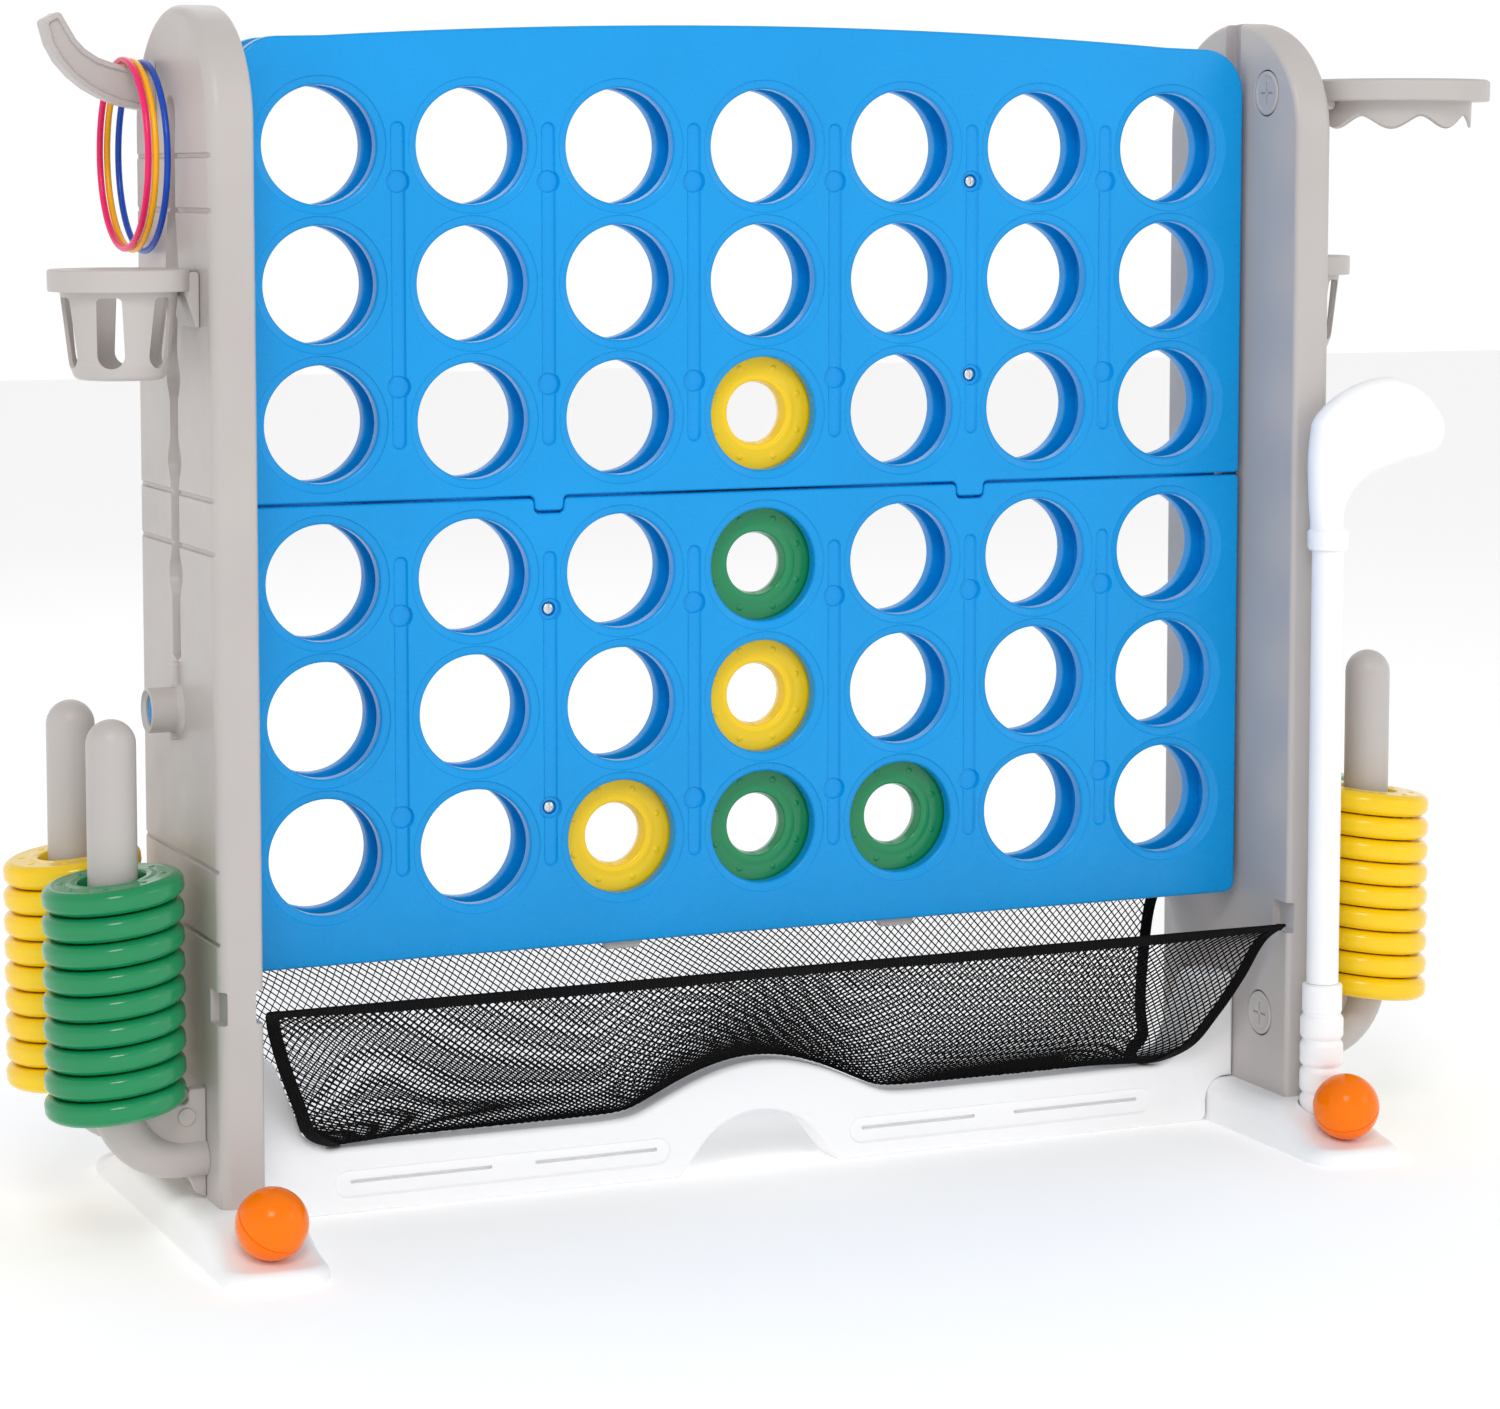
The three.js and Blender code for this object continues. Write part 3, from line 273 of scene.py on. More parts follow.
def webbing(name):
    """Black woven tape: crossed ribs of yarn with a slight sheen."""
    material, tree, shader = new_material(name)
    coords = object_coords(tree)
    weave = tree.nodes.new("ShaderNodeMath")
    weave.operation = "MULTIPLY"
    for i, direction in enumerate(("X", "DIAGONAL")):
        wave = tree.nodes.new("ShaderNodeTexWave")
        wave.bands_direction = direction
        wire(tree, wave, {"Scale": 210, "Distortion": 0.6}, {"Vector": coords})
        tree.links.new(wave.outputs["Fac"], weave.inputs[i])
    ribs = weave.outputs[0]
    wire(tree, shader, {"Roughness": 0.75, "Specular IOR Level": 0.1},
         {"Base Color": mixed(tree, ribs, [0.001, 0.001, 0.001, 1], [0.009, 0.009, 0.009, 1]),
          "Normal": bump(tree, ribs, 0.0004)})
    return material


# ---- Drawing helpers ---------------------------------------------------------------------------

def smooth(t):
    """0 to 1 with level ends."""
    t = np.clip(t, 0, 1)
    return t * t * (3 - 2 * t)


def quarter(count):
    """Angles over a quarter turn."""
    return np.linspace(0, math.pi / 2, count)


def unit(vectors):
    return vectors / np.linalg.norm(vectors, axis=1)[:, None]


def spin(axis, degrees):
    return Matrix.Rotation(math.radians(degrees), 4, axis)


def shift(x, y, z):
    return Matrix.Translation((x, y, z))


def at(x, y, z):
    """A place in the frame, from millimetres."""
    return Matrix.Translation((x * MM, y * MM, z * MM))


def rounded(corners, closed=True, steps=5):
    """An outline through (u, v, radius) corners, each turned by an arc of its radius."""
    points = []
    count = len(corners)
    for i, (u, v, radius) in enumerate(corners):
        corner = np.array([u, v], float)
        if radius <= 0 or (not closed and i in (0, count - 1)):
            points.append(corner)
            continue
        sides = np.array([corners[i - 1][:2], corners[(i + 1) % count][:2]]) - corner
        before, after = unit(sides)
        half = math.acos(np.clip(before @ after, -1, 1)) / 2
        if half > math.radians(89):
            points.append(corner)
            continue
        reach = min(radius / math.tan(half), 0.49 * min(np.linalg.norm(sides, axis=1)))
        radius = reach * math.tan(half)
        centre = corner + (before + after) * reach / (2 * math.cos(half) ** 2)
        start = corner + before * reach - centre
        finish = corner + after * reach - centre
        first = math.atan2(start[1], start[0])
        turn = math.remainder(math.atan2(finish[1], finish[0]) - first, 2 * math.pi)
        for k in range(steps + 1):
            angle = first + turn * k / steps
            points.append(centre + radius * np.array([math.cos(angle), math.sin(angle)]))
    return [tuple(p) for p in points]


def stepped(points, length):
    """A closed outline with its long sides divided into steps of about a length."""
    out = []
    for a, b in zip(points, points[1:] + points[:1]):
        a, b = np.array(a), np.array(b)
        count = max(1, round(float(np.linalg.norm(b - a)) / length))
        out.extend(tuple(a + (b - a) * k / count) for k in range(count))
    return out


def circle(centre, radius, count=48):
    angles = [2 * math.pi * k / count for k in range(count)]
    return [(centre[0] + radius * math.cos(a), centre[1] + radius * math.sin(a)) for a in angles]


def rectangle(low, high, radius, steps=3):
    """A rounded rectangle between two opposite corners, anticlockwise."""
    (a, b), (c, d) = low, high
    return rounded([(a, b, radius), (c, b, radius), (c, d, radius), (a, d, radius)], steps=steps)


def curve_at(points, where):
    """A smooth line through a few points, at shares from 0 to 1 of its length."""
    path = np.array(points, float)
    gaps = np.linalg.norm(np.diff(path, axis=0), axis=1)
    marks = np.concatenate([[0], np.cumsum(gaps)]) / gaps.sum()
    slopes = np.gradient(path, marks, axis=0)
    i = np.clip(np.searchsorted(marks, where, side="right") - 1, 0, len(marks) - 2)
    span = (marks[i + 1] - marks[i])[:, None]
    f = (where - marks[i])[:, None] / span
    return ((2 * f**3 - 3 * f**2 + 1) * path[i] + (f**3 - 2 * f**2 + f) * span * slopes[i]
            + (3 * f**2 - 2 * f**3) * path[i + 1] + (f**3 - f**2) * span * slopes[i + 1])


def grown(loop, amount):
    """A closed anticlockwise outline moved outwards by an amount, or by one for each point."""
    points = np.array(loop, float)
    ahead = unit(np.roll(points, -1, 0) - points)
    behind = np.roll(ahead, 1, 0)
    normals = unit(np.stack([ahead[:, 1] + behind[:, 1], -ahead[:, 0] - behind[:, 0]], 1))
    lean = np.clip((normals * np.stack([ahead[:, 1], -ahead[:, 0]], 1)).sum(1), 0.5, 1)
    return points + normals * (np.broadcast_to(amount, len(points)) / lean)[:, None]


def within(points, loop):
    """Which points lie inside a closed outline."""
    u, v = np.array(points)[:, :, None].transpose(1, 0, 2)
    a = np.asarray(loop, float)
    b = np.roll(a, -1, 0)
    rise = np.where(b[:, 1] == a[:, 1], 1e-12, b[:, 1] - a[:, 1])
    crossing = (b[:, 0] - a[:, 0]) * (v - a[:, 1]) / rise + a[:, 0]
    hits = ((a[:, 1] > v) != (b[:, 1] > v)) & (u < crossing)
    return hits.sum(1) % 2 == 1


def area_of(loop):
    """Twice a closed outline's area, positive when it runs anticlockwise."""
    u, v = np.asarray(loop, float).T
    return float((u * np.roll(v, -1) - v * np.roll(u, -1)).sum())


def enclosed(triangles, borders):
    """The triangles on the left of the directed border edges, spread up to the borders."""
    turns = [((a, b), (b, c), (c, a)) for a, b, c in triangles]
    owner = {edge: i for i, edges in enumerate(turns) for edge in edges}
    found = {owner[edge] for edge in borders if edge in owner}
    waiting = list(found)
    while waiting:
        for a, b in turns[waiting.pop()]:
            near = owner.get((b, a))
            if (a, b) not in borders and near is not None and near not in found:
                found.add(near)
                waiting.append(near)
    return [triangles[i] for i in sorted(found)]


def filled(loops, lines=(), loose=()):
    """Triangles between an outer loop and the loops inside it, through lines and loose points.

    Returns the corners, which given point each of them is, and the triangles."""
    flat, edges, starts = [], [], []
    for loop in loops:
        start, count = len(flat), len(loop)
        starts.append(start)
        edges += [(start + k, start + (k + 1) % count) for k in range(count)]
        flat += loop
    for line in lines:
        inside = within(line, grown(loops[0], -0.3))
        start = len(flat)
        edges += [(start + k, start + k + 1) for k in range(len(line) - 1) if inside[k:k + 2].all()]
        flat += [p if good else line[int(np.argmax(inside))] for p, good in zip(line, inside)]
    flat += loose
    made = delaunay_2d_cdt([Vector(p) for p in flat], edges, [], 0, 1e-4, True)
    spots = np.array([tuple(p) for p in made[0]])
    placed = {origin: i for i, origins in enumerate(made[3]) for origin in origins}
    borders = set()
    for start, loop in zip(starts, loops):
        marks = [placed[start + k] for k in range(len(loop))]
        if (area_of(spots[marks]) > 0) != (start == 0):
            marks.reverse()
        borders.update(zip(marks, marks[1:] + marks[:1]))
    given = [min(origins, default=len(flat)) for origins in made[3]]
    return spots, given, enclosed(made[2], borders)


def round_edge(radius, depth, steps=5, back=None):
    """(outset, depth) steps over a rounded front edge, down a wall and over a rounded back edge."""
    back = radius if back is None else back
    front = [(-radius * (1 - math.sin(a)), radius * (1 - math.cos(a))) for a in quarter(steps + 1)]
    return front + [(-back * (1 - math.cos(a)), depth - back * (1 - math.sin(a)))
                    for a in quarter(steps + 1)]


class Form:
    """Points in millimetres and the faces between them."""

    def __init__(self):
        self.points = []
        self.faces = []
        self.count = 0

    def add(self, points, faces):
        base = self.count
        self.points.append(np.asarray(points, float).reshape(-1, 3))
        self.count += len(self.points[-1])
        self.faces.extend([base + i for i in face] for face in faces)
        return self

    def add_form(self, other, matrix=Matrix.Identity(4)):
        turn = np.array(matrix)
        return self.add(np.concatenate(other.points) @ turn[:3, :3].T + turn[:3, 3], other.faces)


class Plate:
    """A moulded plate drawn in (u, v), with its depth measured from its front face."""

    def __init__(self, outline, edge, share=1.0):
        """Share scales the edge's outsets, for all of the outline or point by point."""
        self.points = []
        self.faces = []
        self.front = []
        self.back = []
        self.front_lines = []
        first, last = self.wall(outline, [(outset * share, depth) for outset, depth in edge], False)
        self.front.append(first)
        self.back.append(last)

    def wall(self, loop, steps, hollow):
        """Faces that follow an outline through (outset, depth) steps; returns its end loops."""
        count = len(loop)
        rings = []
        for outset, depth in steps:
            rings.append(list(range(len(self.points), len(self.points) + count)))
            self.points.extend((u, v, depth) for u, v in grown(loop, outset))
        for above, below in zip(rings, rings[1:]):
            for i in range(count):
                j = (i + 1) % count
                face = [above[i], below[i], below[j], above[j]]
                self.faces.append(face[::-1] if hollow else face)
        return rings[0], rings[-1]

    def opening(self, loop, steps):
        """A hole right through, its edges shaped by (outset, depth) steps."""
        first, last = self.wall(loop, steps, hollow=True)
        self.front.append(first)
        self.back.append(last)

    def recess(self, loop, steps):
        """A blind recess in the front face with a flat floor."""
        first, last = self.wall(loop, steps, hollow=True)
        self.front.append(first)
        self.faces.append(last)

    def raised(self, loop, steps):
        """A rib that stands up from the back face."""
        first, last = self.wall(loop, steps, hollow=False)
        self.back.append(first)
        self.faces.append(last[::-1])

    def skin(self, loops, lines, relief, front):
        """Fills the face between its outer loop and the loops inside it."""
        known = [i for loop in loops for i in loop]
        spots, given, triangles = filled([[self.points[i][:2] for i in loop] for loop in loops], lines)
        depths = relief(*spots.T) if relief else np.zeros(len(spots))
        level = self.points[known[0]][2]
        index = []
        for (u, v), origin, depth in zip(spots, given, depths):
            if origin < len(known):
                index.append(known[origin])
            else:
                index.append(len(self.points))
                self.points.append((u, v, level + depth))
        for corners in triangles:
            face = [index[c] for c in corners]
            self.faces.append(face if front else face[::-1])

    def form(self, face, relief=None, sideways=False):
        """The finished plate, upright, with its front face at y, or at x when sideways."""
        self.skin(self.front, self.front_lines, relief, True)
        self.skin(self.back, [], None, False)
        u, v, depth = np.array(self.points).T
        spots = (face + depth, -u, v) if sideways else (u, face + depth, v)
        return Form().add(np.stack(spots, 1), self.faces)


def lathe(profile, segments=48, closed=False, warp=None):
    """A profile of (radius, height) turned about the Z axis, going up its outer side."""
    points, rings, faces = [], [], []
    for radius, height in profile:
        count = 1 if radius < 1e-6 else segments
        rings.append(list(range(len(points), len(points) + count)))
        for k in range(count):
            angle = 2 * math.pi * k / segments
            z = warp(angle, height) if warp else height
            points.append((radius * math.cos(angle), radius * math.sin(angle), z))
    for low, high in zip(rings, rings[1:] + (rings[:1] if closed else [])):
        for k in range(segments):
            j = (k + 1) % segments
            face = [low[k % len(low)], low[j % len(low)], high[j % len(high)], high[k % len(high)]]
            face = [i for n, i in enumerate(face) if i != face[n - 1]]
            if len(face) > 2:
                faces.append(face)
    return Form().add(points, faces)


def turned(corners, segments=64, steps=3):
    """A solid turned about Z whose (radius, height, rounding) corners start and end on the axis."""
    return lathe(rounded(corners, closed=False, steps=steps), segments)


def bar(rings, first=True, last=True):
    """A skin through rings of points, an array of (ring, point, coordinate), and its end faces."""
    count, sides = rings.shape[:2]
    marks = np.arange(count * sides).reshape(count, sides)
    ahead = np.roll(marks, -1, 1)
    faces = np.stack([marks[:-1], ahead[:-1], ahead[1:], marks[1:]], 2).reshape(-1, 4).tolist()
    if first:
        faces.append(marks[0, ::-1].tolist())
    if last:
        faces.append(marks[-1].tolist())
    return Form().add(rings, faces)


def block(corner, opposite, edge=0.0):
    """A box between two opposite corners with its edges rounded."""
    low, high = np.minimum(corner, opposite), np.maximum(corner, opposite)
    outline = rectangle(low[[0, 2]], high[[0, 2]], edge * 1.35)
    depth = high[1] - low[1]
    return Plate(outline, round_edge(edge, depth, 3) if edge else [(0, 0), (0, depth)]).form(low[1])


def shade(mesh, sharp):
    mesh.shade_smooth()
    mesh.set_sharp_from_angle(angle=math.radians(sharp))
    return mesh


def mesh_of(name, form, sharp=35):
    mesh = bpy.data.meshes.new(name)
    mesh.from_pydata((np.concatenate(form.points) * MM).tolist(), [], form.faces)
    shell = bmesh.new()
    shell.from_mesh(mesh)
    bmesh.ops.remove_doubles(shell, verts=shell.verts, dist=1e-6)
    bmesh.ops.recalc_face_normals(shell, faces=shell.faces)
    shell.to_mesh(mesh)
    shell.free()
    return shade(mesh, sharp)


def shown(name, mesh, slot, replaced=(), matrix=HOME, body="frame", look=None):
    """A finished piece: its mesh placed in the frame, on a body, standing for CAD nodes."""
    piece = linked(name, mesh)
    if not mesh.materials:
        mesh.materials.append(look or LOOKS[slot])
    piece.matrix_world = matrix
    crisp = piece.modifiers.new("flat_faces", "WEIGHTED_NORMAL")
    crisp.keep_sharp = True
    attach(piece, body)
    if replaced:
        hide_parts(*replaced)
    return piece


def make(name, form, slot, replaced=(), matrix=HOME, body="frame", sharp=35, look=None):
    return shown(name, mesh_of(name, form, sharp), slot, replaced, matrix, body, look)


def carved(name, form, tool, sharp=32):
    """A mesh with a tool's volume cut away."""
    body = linked(name, mesh_of(name, form, sharp))
    cutter = linked(name + "_tool", mesh_of(name + "_tool", tool, sharp))
    boolean = body.modifiers.new("cut", "BOOLEAN")
    boolean.operation = "DIFFERENCE"
    boolean.solver = "EXACT"
    boolean.use_self = True
    boolean.object = cutter
    bpy.context.view_layer.update()
    made = bpy.data.meshes.new_from_object(body.evaluated_get(bpy.context.evaluated_depsgraph_get()))
    made.name = name
    for item in (body, cutter):
        bpy.data.objects.remove(item)
    return shade(made, sharp)


def sunken(bars, start, fall):
    """Lines round recessed bars with round ends, and the depth that they give a face.

    A bar is its two centres, radius and depth. Its wall starts outside the radius and falls inwards."""
    lines = []
    for low, high, radius, _ in bars:
        for step in (start, start - fall / 2, start - fall):
            r = radius + step
            loop = circle(low, r, 32) if low == high else rectangle(
                (low[0] - r, low[1] - r), (high[0] + r, high[1] + r), r, 8)
            lines.append(loop + loop[:1])

    def depth(u, v):
        sunk = np.zeros(len(u))
        for low, high, radius, deep in bars:
            away = np.hypot(u - np.clip(u, low[0], high[0]), v - np.clip(v, low[1], high[1]))
            sunk = np.maximum(sunk, deep * smooth((start + radius - away) / fall))
        return sunk

    return lines, depth


# ---- Board -------------------------------------------------------------------------------------

def column_x(column):
    return (column - (COLUMNS - 1) / 2) * COLUMN_PITCH


def row_heights(side):
    """A panel's rows; side is 1 for the upper panels and -1 for the lower ones."""
    return [SEAM_Z + side * (SEAM_ROW_OFFSET + row * ROW_PITCH) for row in range(3)]


DIVIDERS = [column_x(i) + COLUMN_PITCH / 2 for i in range(COLUMNS - 1)]
# The step round each hole: a lowered sloping lip that rolls into the hole's wall.
HOLE_STEPS = [(8.6, 0), (8.2, 0.15), (7.7, 0.9), (7.1, 1.25), (3.2, 2.1), (1.6, 2.6),
              (0.5, 3.6), (0, 5.2), (0, 14.2), (0.5, 15.4), (1.8, 16)]
PILL_HALF = 6
PILL_DEPTH = 2.2
STUD_RADIUS = 10
STUD_DEPTH = 3.8
TAB_HALF_WIDTH = 14
TAB_DEPTH = 13
TAB_ROUNDING = 4.4
RIB_HALF_WIDTH = 7.5
RIB_REACH = PANEL_FACE - 0.15
TONGUE_ROOT = 465
TONGUE_TOP = 950


def panel_outline(side):
    """A panel's edge, with the two tabs of the seam."""
    half, soft = BOARD_HALF_WIDTH, TAB_ROUNDING
    z = SEAM_Z + side * SEAM_HALF_GAP
    seam = [(-half, z, soft)]
    for x in (-SCREW_X, SCREW_X):
        seam += [(x - TAB_HALF_WIDTH, z, soft), (x - TAB_HALF_WIDTH + 1, z - TAB_DEPTH, soft),
                 (x + TAB_HALF_WIDTH - 1, z - TAB_DEPTH, soft), (x + TAB_HALF_WIDTH, z, soft)]
    seam.append((half, z, soft))
    if side < 0:
        foot = [(-half, BOARD_BOTTOM, 10), (half, BOARD_BOTTOM, 10)]
        return stepped(rounded(seam[::-1] + foot, steps=6), 30)
    shoulder = half - 50
    rise = BOARD_CROWN - BOARD_SHOULDER
    crown = [(x, BOARD_CROWN - rise * (x / shoulder) ** 2, 0)
             for x in np.linspace(shoulder - 30, 30 - shoulder, 25)]
    top = [(half, BOARD_SHOULDER, 52), *crown, (-half, BOARD_SHOULDER, 52)]
    return stepped(rounded(seam + top, steps=10), 30)


def divider_relief(side):
    """The recessed bars between the columns and the round studs on them."""
    middle = row_heights(side)[1]
    low, high = middle - 139 + (2 if side < 0 else 0) + PILL_HALF, middle + 136.5 - PILL_HALF
    bars = []
    for x in DIVIDERS:
        bars.append(((x, low), (x, high), PILL_HALF, PILL_DEPTH))
        for z in (middle - SCREW_ROW_OFFSET, middle + SCREW_ROW_OFFSET):
            bars.append(((x, z), (x, z), STUD_RADIUS, STUD_DEPTH))
    return sunken(bars, 0.5, 1.6)


def panel_form(side):
    """One front panel. The same moulding turned half a turn is the rear panel."""
    plate = Plate(panel_outline(side), round_edge(3, PANEL_THICKNESS))
    for z in row_heights(side):
        for column in range(COLUMNS):
            plate.opening(circle((column_x(column), z), HOLE_RADIUS, 72), HOLE_STEPS)
    plate.front_lines, relief = divider_relief(side)
    low, high = (SEAM_Z + 6, 985) if side > 0 else (253.4, SEAM_Z - 18)
    for x in DIVIDERS:
        rib = rectangle((x - RIB_HALF_WIDTH, low), (x + RIB_HALF_WIDTH, high), 1.5, 2)
        steps = [(0, PANEL_THICKNESS), (-0.2, RIB_REACH - 0.6), (-0.8, RIB_REACH)]
        plate.raised(stepped(rib, 60), steps)
    form = plate.form(-PANEL_FACE, relief)
    high = min(high, TONGUE_TOP)
    back = -SLOT_HALF_WIDTH
    for end in (-1, 1):
        root = end * TONGUE_ROOT
        form.add_form(block((root, back + 0.3, low), (end * 497.4, -0.15, high), 1.2))
        form.add_form(block((root, back - 1, low + 3), (end * 476.5, -2, high - 3), 1.2))
    return form


def screw_places(side):
    """A panel's two screws as (x, z)."""
    middle = row_heights(side)[1]
    return [(side * SCREW_X, middle + step * SCREW_ROW_OFFSET) for step in (-1, 1)]


def panel_cuts(side):
    """Screw bores, and the release sliders' channel in a lower panel."""
    tool = Form()
    bore = lathe([(0, -7), (6.4, -7), (6.4, -0.4), (7.6, 1), (7.6, 3), (0, 3)], 32)
    for x, z in screw_places(side):
        tool.add_form(bore, shift(x, -PANEL_FACE, z) @ spin("X", 90))
    if side < 0:
        tool.add_form(block((-490, -SLOT_HALF_WIDTH - 9.5, 210), (490, -SLOT_HALF_WIDTH + 1, 234)))
    return tool


def screw_form():
    """A pan-head screw seen from its head."""
    head = rounded([(0, -2.6, 0), (4.9, -2.6, 0.4), (4.9, -0.9, 1.2), (2.6, 0, 3), (0, 0, 0)],
                   closed=False, steps=4)
    return lathe([(0, -30), (2.3, -28), (2.3, -2.6)] + head[1:], 32)


def cross_tool(reach, width, depth):
    """A cross recess."""
    tool = block((-reach, -width, -depth), (reach, width, 2))
    return tool.add_form(block((-width, -reach, -depth), (width, reach, 2)))


def make_board():
    screw = carved("screw", screw_form(), cross_tool(2.7, 0.5, 1.6), 30)
    for side, level in ((1, "upper"), (-1, "lower")):
        mesh = carved(f"{level}_panel", panel_form(side), panel_cuts(side))
        for face, turn in (("front", HOME), ("rear", TURNED)):
            panel = f"{face}_{level}"
            shown(f"{panel}_panel_shell", mesh, "board_blue", [f"{panel}_panel"], turn)
            for i, (x, z) in enumerate(screw_places(side), 1):
                shown(f"{panel}_screw_{i}_head", screw, "screw_steel", [f"{panel}_screw_{i}"],
                      turn @ at(x, -PANEL_FACE + 3.5, z) @ spin("X", 90))


# ---- Rings -------------------------------------------------------------------------------------

BOARD_RINGS = {(3, 6): "yellow", (4, 6): "green", (4, 5): "yellow",
               (4, 4): "green", (4, 3): "yellow", (5, 6): "green"}
STACKS = {"left_front": ("green", HOME, -1), "left_rear": ("yellow", HOME, 1),
          "right_front": ("yellow", TURNED, 1), "right_rear": ("green", TURNED, -1)}


def ring_form():
    """One playing ring, lying flat about its middle: waisted bore, dished faces with studs."""
    half = RING_THICKNESS / 2
    upper = [(RING_RADIUS, 5.4, 6.5), (52.5, half - 0.25, 7), (46.5, half - 0.75, 3),
             (37.5, half - 0.8, 2), (33.0, half, 1.6), (28.4, half - 0.6, 2.2)]
    lower = [(r, -z, soft) for r, z, soft in reversed(upper)]
    form = lathe(rounded([(26, 0, 9), *lower, *upper], steps=5), 96, closed=True)
    stud = lathe([(0, -0.4), (3.1, -0.4), (2.9, 0.15), (2.3, 0.5), (1.3, 0.72), (0, 0.8)], 14)
    for k in range(8):
        angle = math.radians(22.5 + 45 * k)
        spot = shift(42 * math.cos(angle), 42 * math.sin(angle), half - 0.85)
        form.add_form(stud, spot)
        form.add_form(stud, spin("X", 180) @ spot)
    return form


def stack_form():
    """The rings on a left peg, each leaning outwards by the play between its bore and the peg."""
    stack = Form()
    for i in range(RINGS_ON_PEG):
        lift = shift(0, 0, RING_THICKNESS / 2 + i * RING_PITCH)
        stack.add_form(ring_form(), lift @ spin("Y", -RING_LEAN) @ spin("Z", 17 * i))
    return stack


def make_rings():
    heights = [*reversed(row_heights(1)), *row_heights(-1)]
    single = {colour: mesh_of(f"{colour}_ring", ring_form(), 40) for colour in ("yellow", "green")}
    for (column, row), colour in BOARD_RINGS.items():
        name = f"ring_{column}_{row}"
        shown(f"{name}_moulded", single[colour], f"ring_{colour}", [f"board_{name}"],
              HOME @ at(column_x(column - 1), 0, heights[row - 1]) @ spin("X", 90), name)
    stacks = {colour: mesh_of(f"{colour}_stack", stack_form(), 40) for colour in ("yellow", "green")}
    for name, (colour, turn, side) in STACKS.items():
        shown(f"{name}_ring_pile", stacks[colour], f"ring_{colour}", [f"{name}_ring_stack"],
              turn @ at(-PEG_X, side * PEG_Y, STACK_Z), f"{name}_rings")


# ---- Legs and feet -----------------------------------------------------------------------------

# The leaf-shaped swellings of the channel up a leg's outer face, from low to high.
LEAVES = [(533, 577), (627, 672), (696, 742), (742, 857.5)]
LEAF_FOOT = 482
LEAF_NODE = 902
LEAF_WIDE = 930
LEAF_TIP = 953
LEAF_NARROW = 12.2
LEAF_SPREAD = 8.5
LEAF_TIP_SPREAD = 3.5
LEAF_DEPTH = 12
GROOVE_ZS = (902, 857.5, 623.5, 580, 320, 260)
GROOVE_DEPTH = 2.3
SOCKET_RADIUS = 20.8


def leaf_half_width(z):
    """Half the width of the leaf-shaped channel up the middle of a leg's outer face."""
    z = np.asarray(z, float)
    width = np.full(z.shape, LEAF_NARROW)
    for low, high in LEAVES:
        t = np.clip((z - low) / (high - low), 0, 1)
        width = width + LEAF_SPREAD * np.sin(math.pi * t) ** 2
    width = width + LEAF_TIP_SPREAD * smooth((z - LEAF_NODE) / (LEAF_WIDE - LEAF_NODE))
    cap = np.sqrt(np.clip(1 - ((z - LEAF_WIDE) / (LEAF_TIP - LEAF_WIDE)) ** 2, 0, 1))
    width = np.where(z > LEAF_WIDE, (LEAF_NARROW + LEAF_TIP_SPREAD) * cap, width)
    return np.where(z < LEAF_FOOT + 4, LEAF_NARROW * np.clip((z - LEAF_FOOT) / 4, 0, 1) ** 0.5, width)


def leg_relief():
    heights = np.concatenate([np.arange(LEAF_FOOT, LEAF_WIDE, 4.0), np.linspace(LEAF_WIDE, LEAF_TIP, 9)])
    lines = []
    for share in (-1.06, -1, -0.93, -0.84, -0.7, -0.4, 0, 0.4, 0.7, 0.84, 0.93, 1, 1.06):
        lines.append(list(zip((leaf_half_width(heights) * share).tolist(), heights.tolist())))

    def depth(u, v):
        width = np.maximum(leaf_half_width(v), 1e-3)
        inside = (v > LEAF_FOOT) & (v < LEAF_TIP)
        bowl = np.clip(1 - (np.abs(u) / width) ** 8, 0, 1) ** 0.7
        ends = smooth((LEAF_TIP - v) / 8) * smooth((v - LEAF_FOOT) / 6)
        return LEAF_DEPTH * bowl * ends * inside

    return lines, depth


def leg_form():
    base = [(-LEG_HALF_DEPTH, LEG_FOOT_Z), (LEG_HALF_DEPTH, LEG_FOOT_Z)]
    dome = [(LEG_HALF_DEPTH * math.cos(a), LEG_DOME_Z + LEG_DOME_HEIGHT * math.sin(a))
            for a in np.linspace(0, math.pi, 65)]
    edge = round_edge(10, LEG_THICKNESS, 6)[:7] + round_edge(5, LEG_THICKNESS, 5)[6:]
    plate = Plate(stepped(base + dome, 45), edge)
    plate.front_lines, relief = leg_relief()
    return plate.form(-LEG_OUTER_X, relief, sideways=True)


def leg_cuts():
    """Grooves across the outer face, the slot for the board, net notches and cap seats."""
    tool = Form()
    face = -LEG_OUTER_X
    for z in GROOVE_ZS:
        lower = [(face - 2, z - 4.2, 0), (face + 0.1, z - 2.4, 1.2), (face + GROOVE_DEPTH, z - 1.5, 1.0)]
        upper = [(x, 2 * z - height, soft) for x, height, soft in reversed(lower)]
        tool.add_form(Plate(rounded(lower + upper, steps=3), [(0, 0), (0, 240)]).form(-120))
    face = -LEG_INNER_X
    right = [(face + 2, 16.2, 0), (face - 0.4, 13.2, 1), (face - 11, 13.2, 0.8)]
    left = [(x, -y, soft) for x, y, soft in reversed(right)]
    tool.add_form(Plate(rounded(right + left, steps=3), [(0, 0), (0, 800)]).form(253), spin("X", 90))
    for y in (-LEG_HALF_DEPTH, LEG_HALF_DEPTH):
        for x in (-LEG_OUTER_X, -LEG_INNER_X):
            tool.add_form(block((x - 7, y - 26, 193), (x + 7, y + 26, 221), 1.5))
    seat = lathe([(0, -6.3), (21.2, -6.3), (21.2, -0.8), (22.4, 0.6), (22.4, 3), (0, 3)])
    for y, z in CAP_PLACES:
        tool.add_form(seat, shift(face, y, z) @ spin("Y", 90))
    return tool


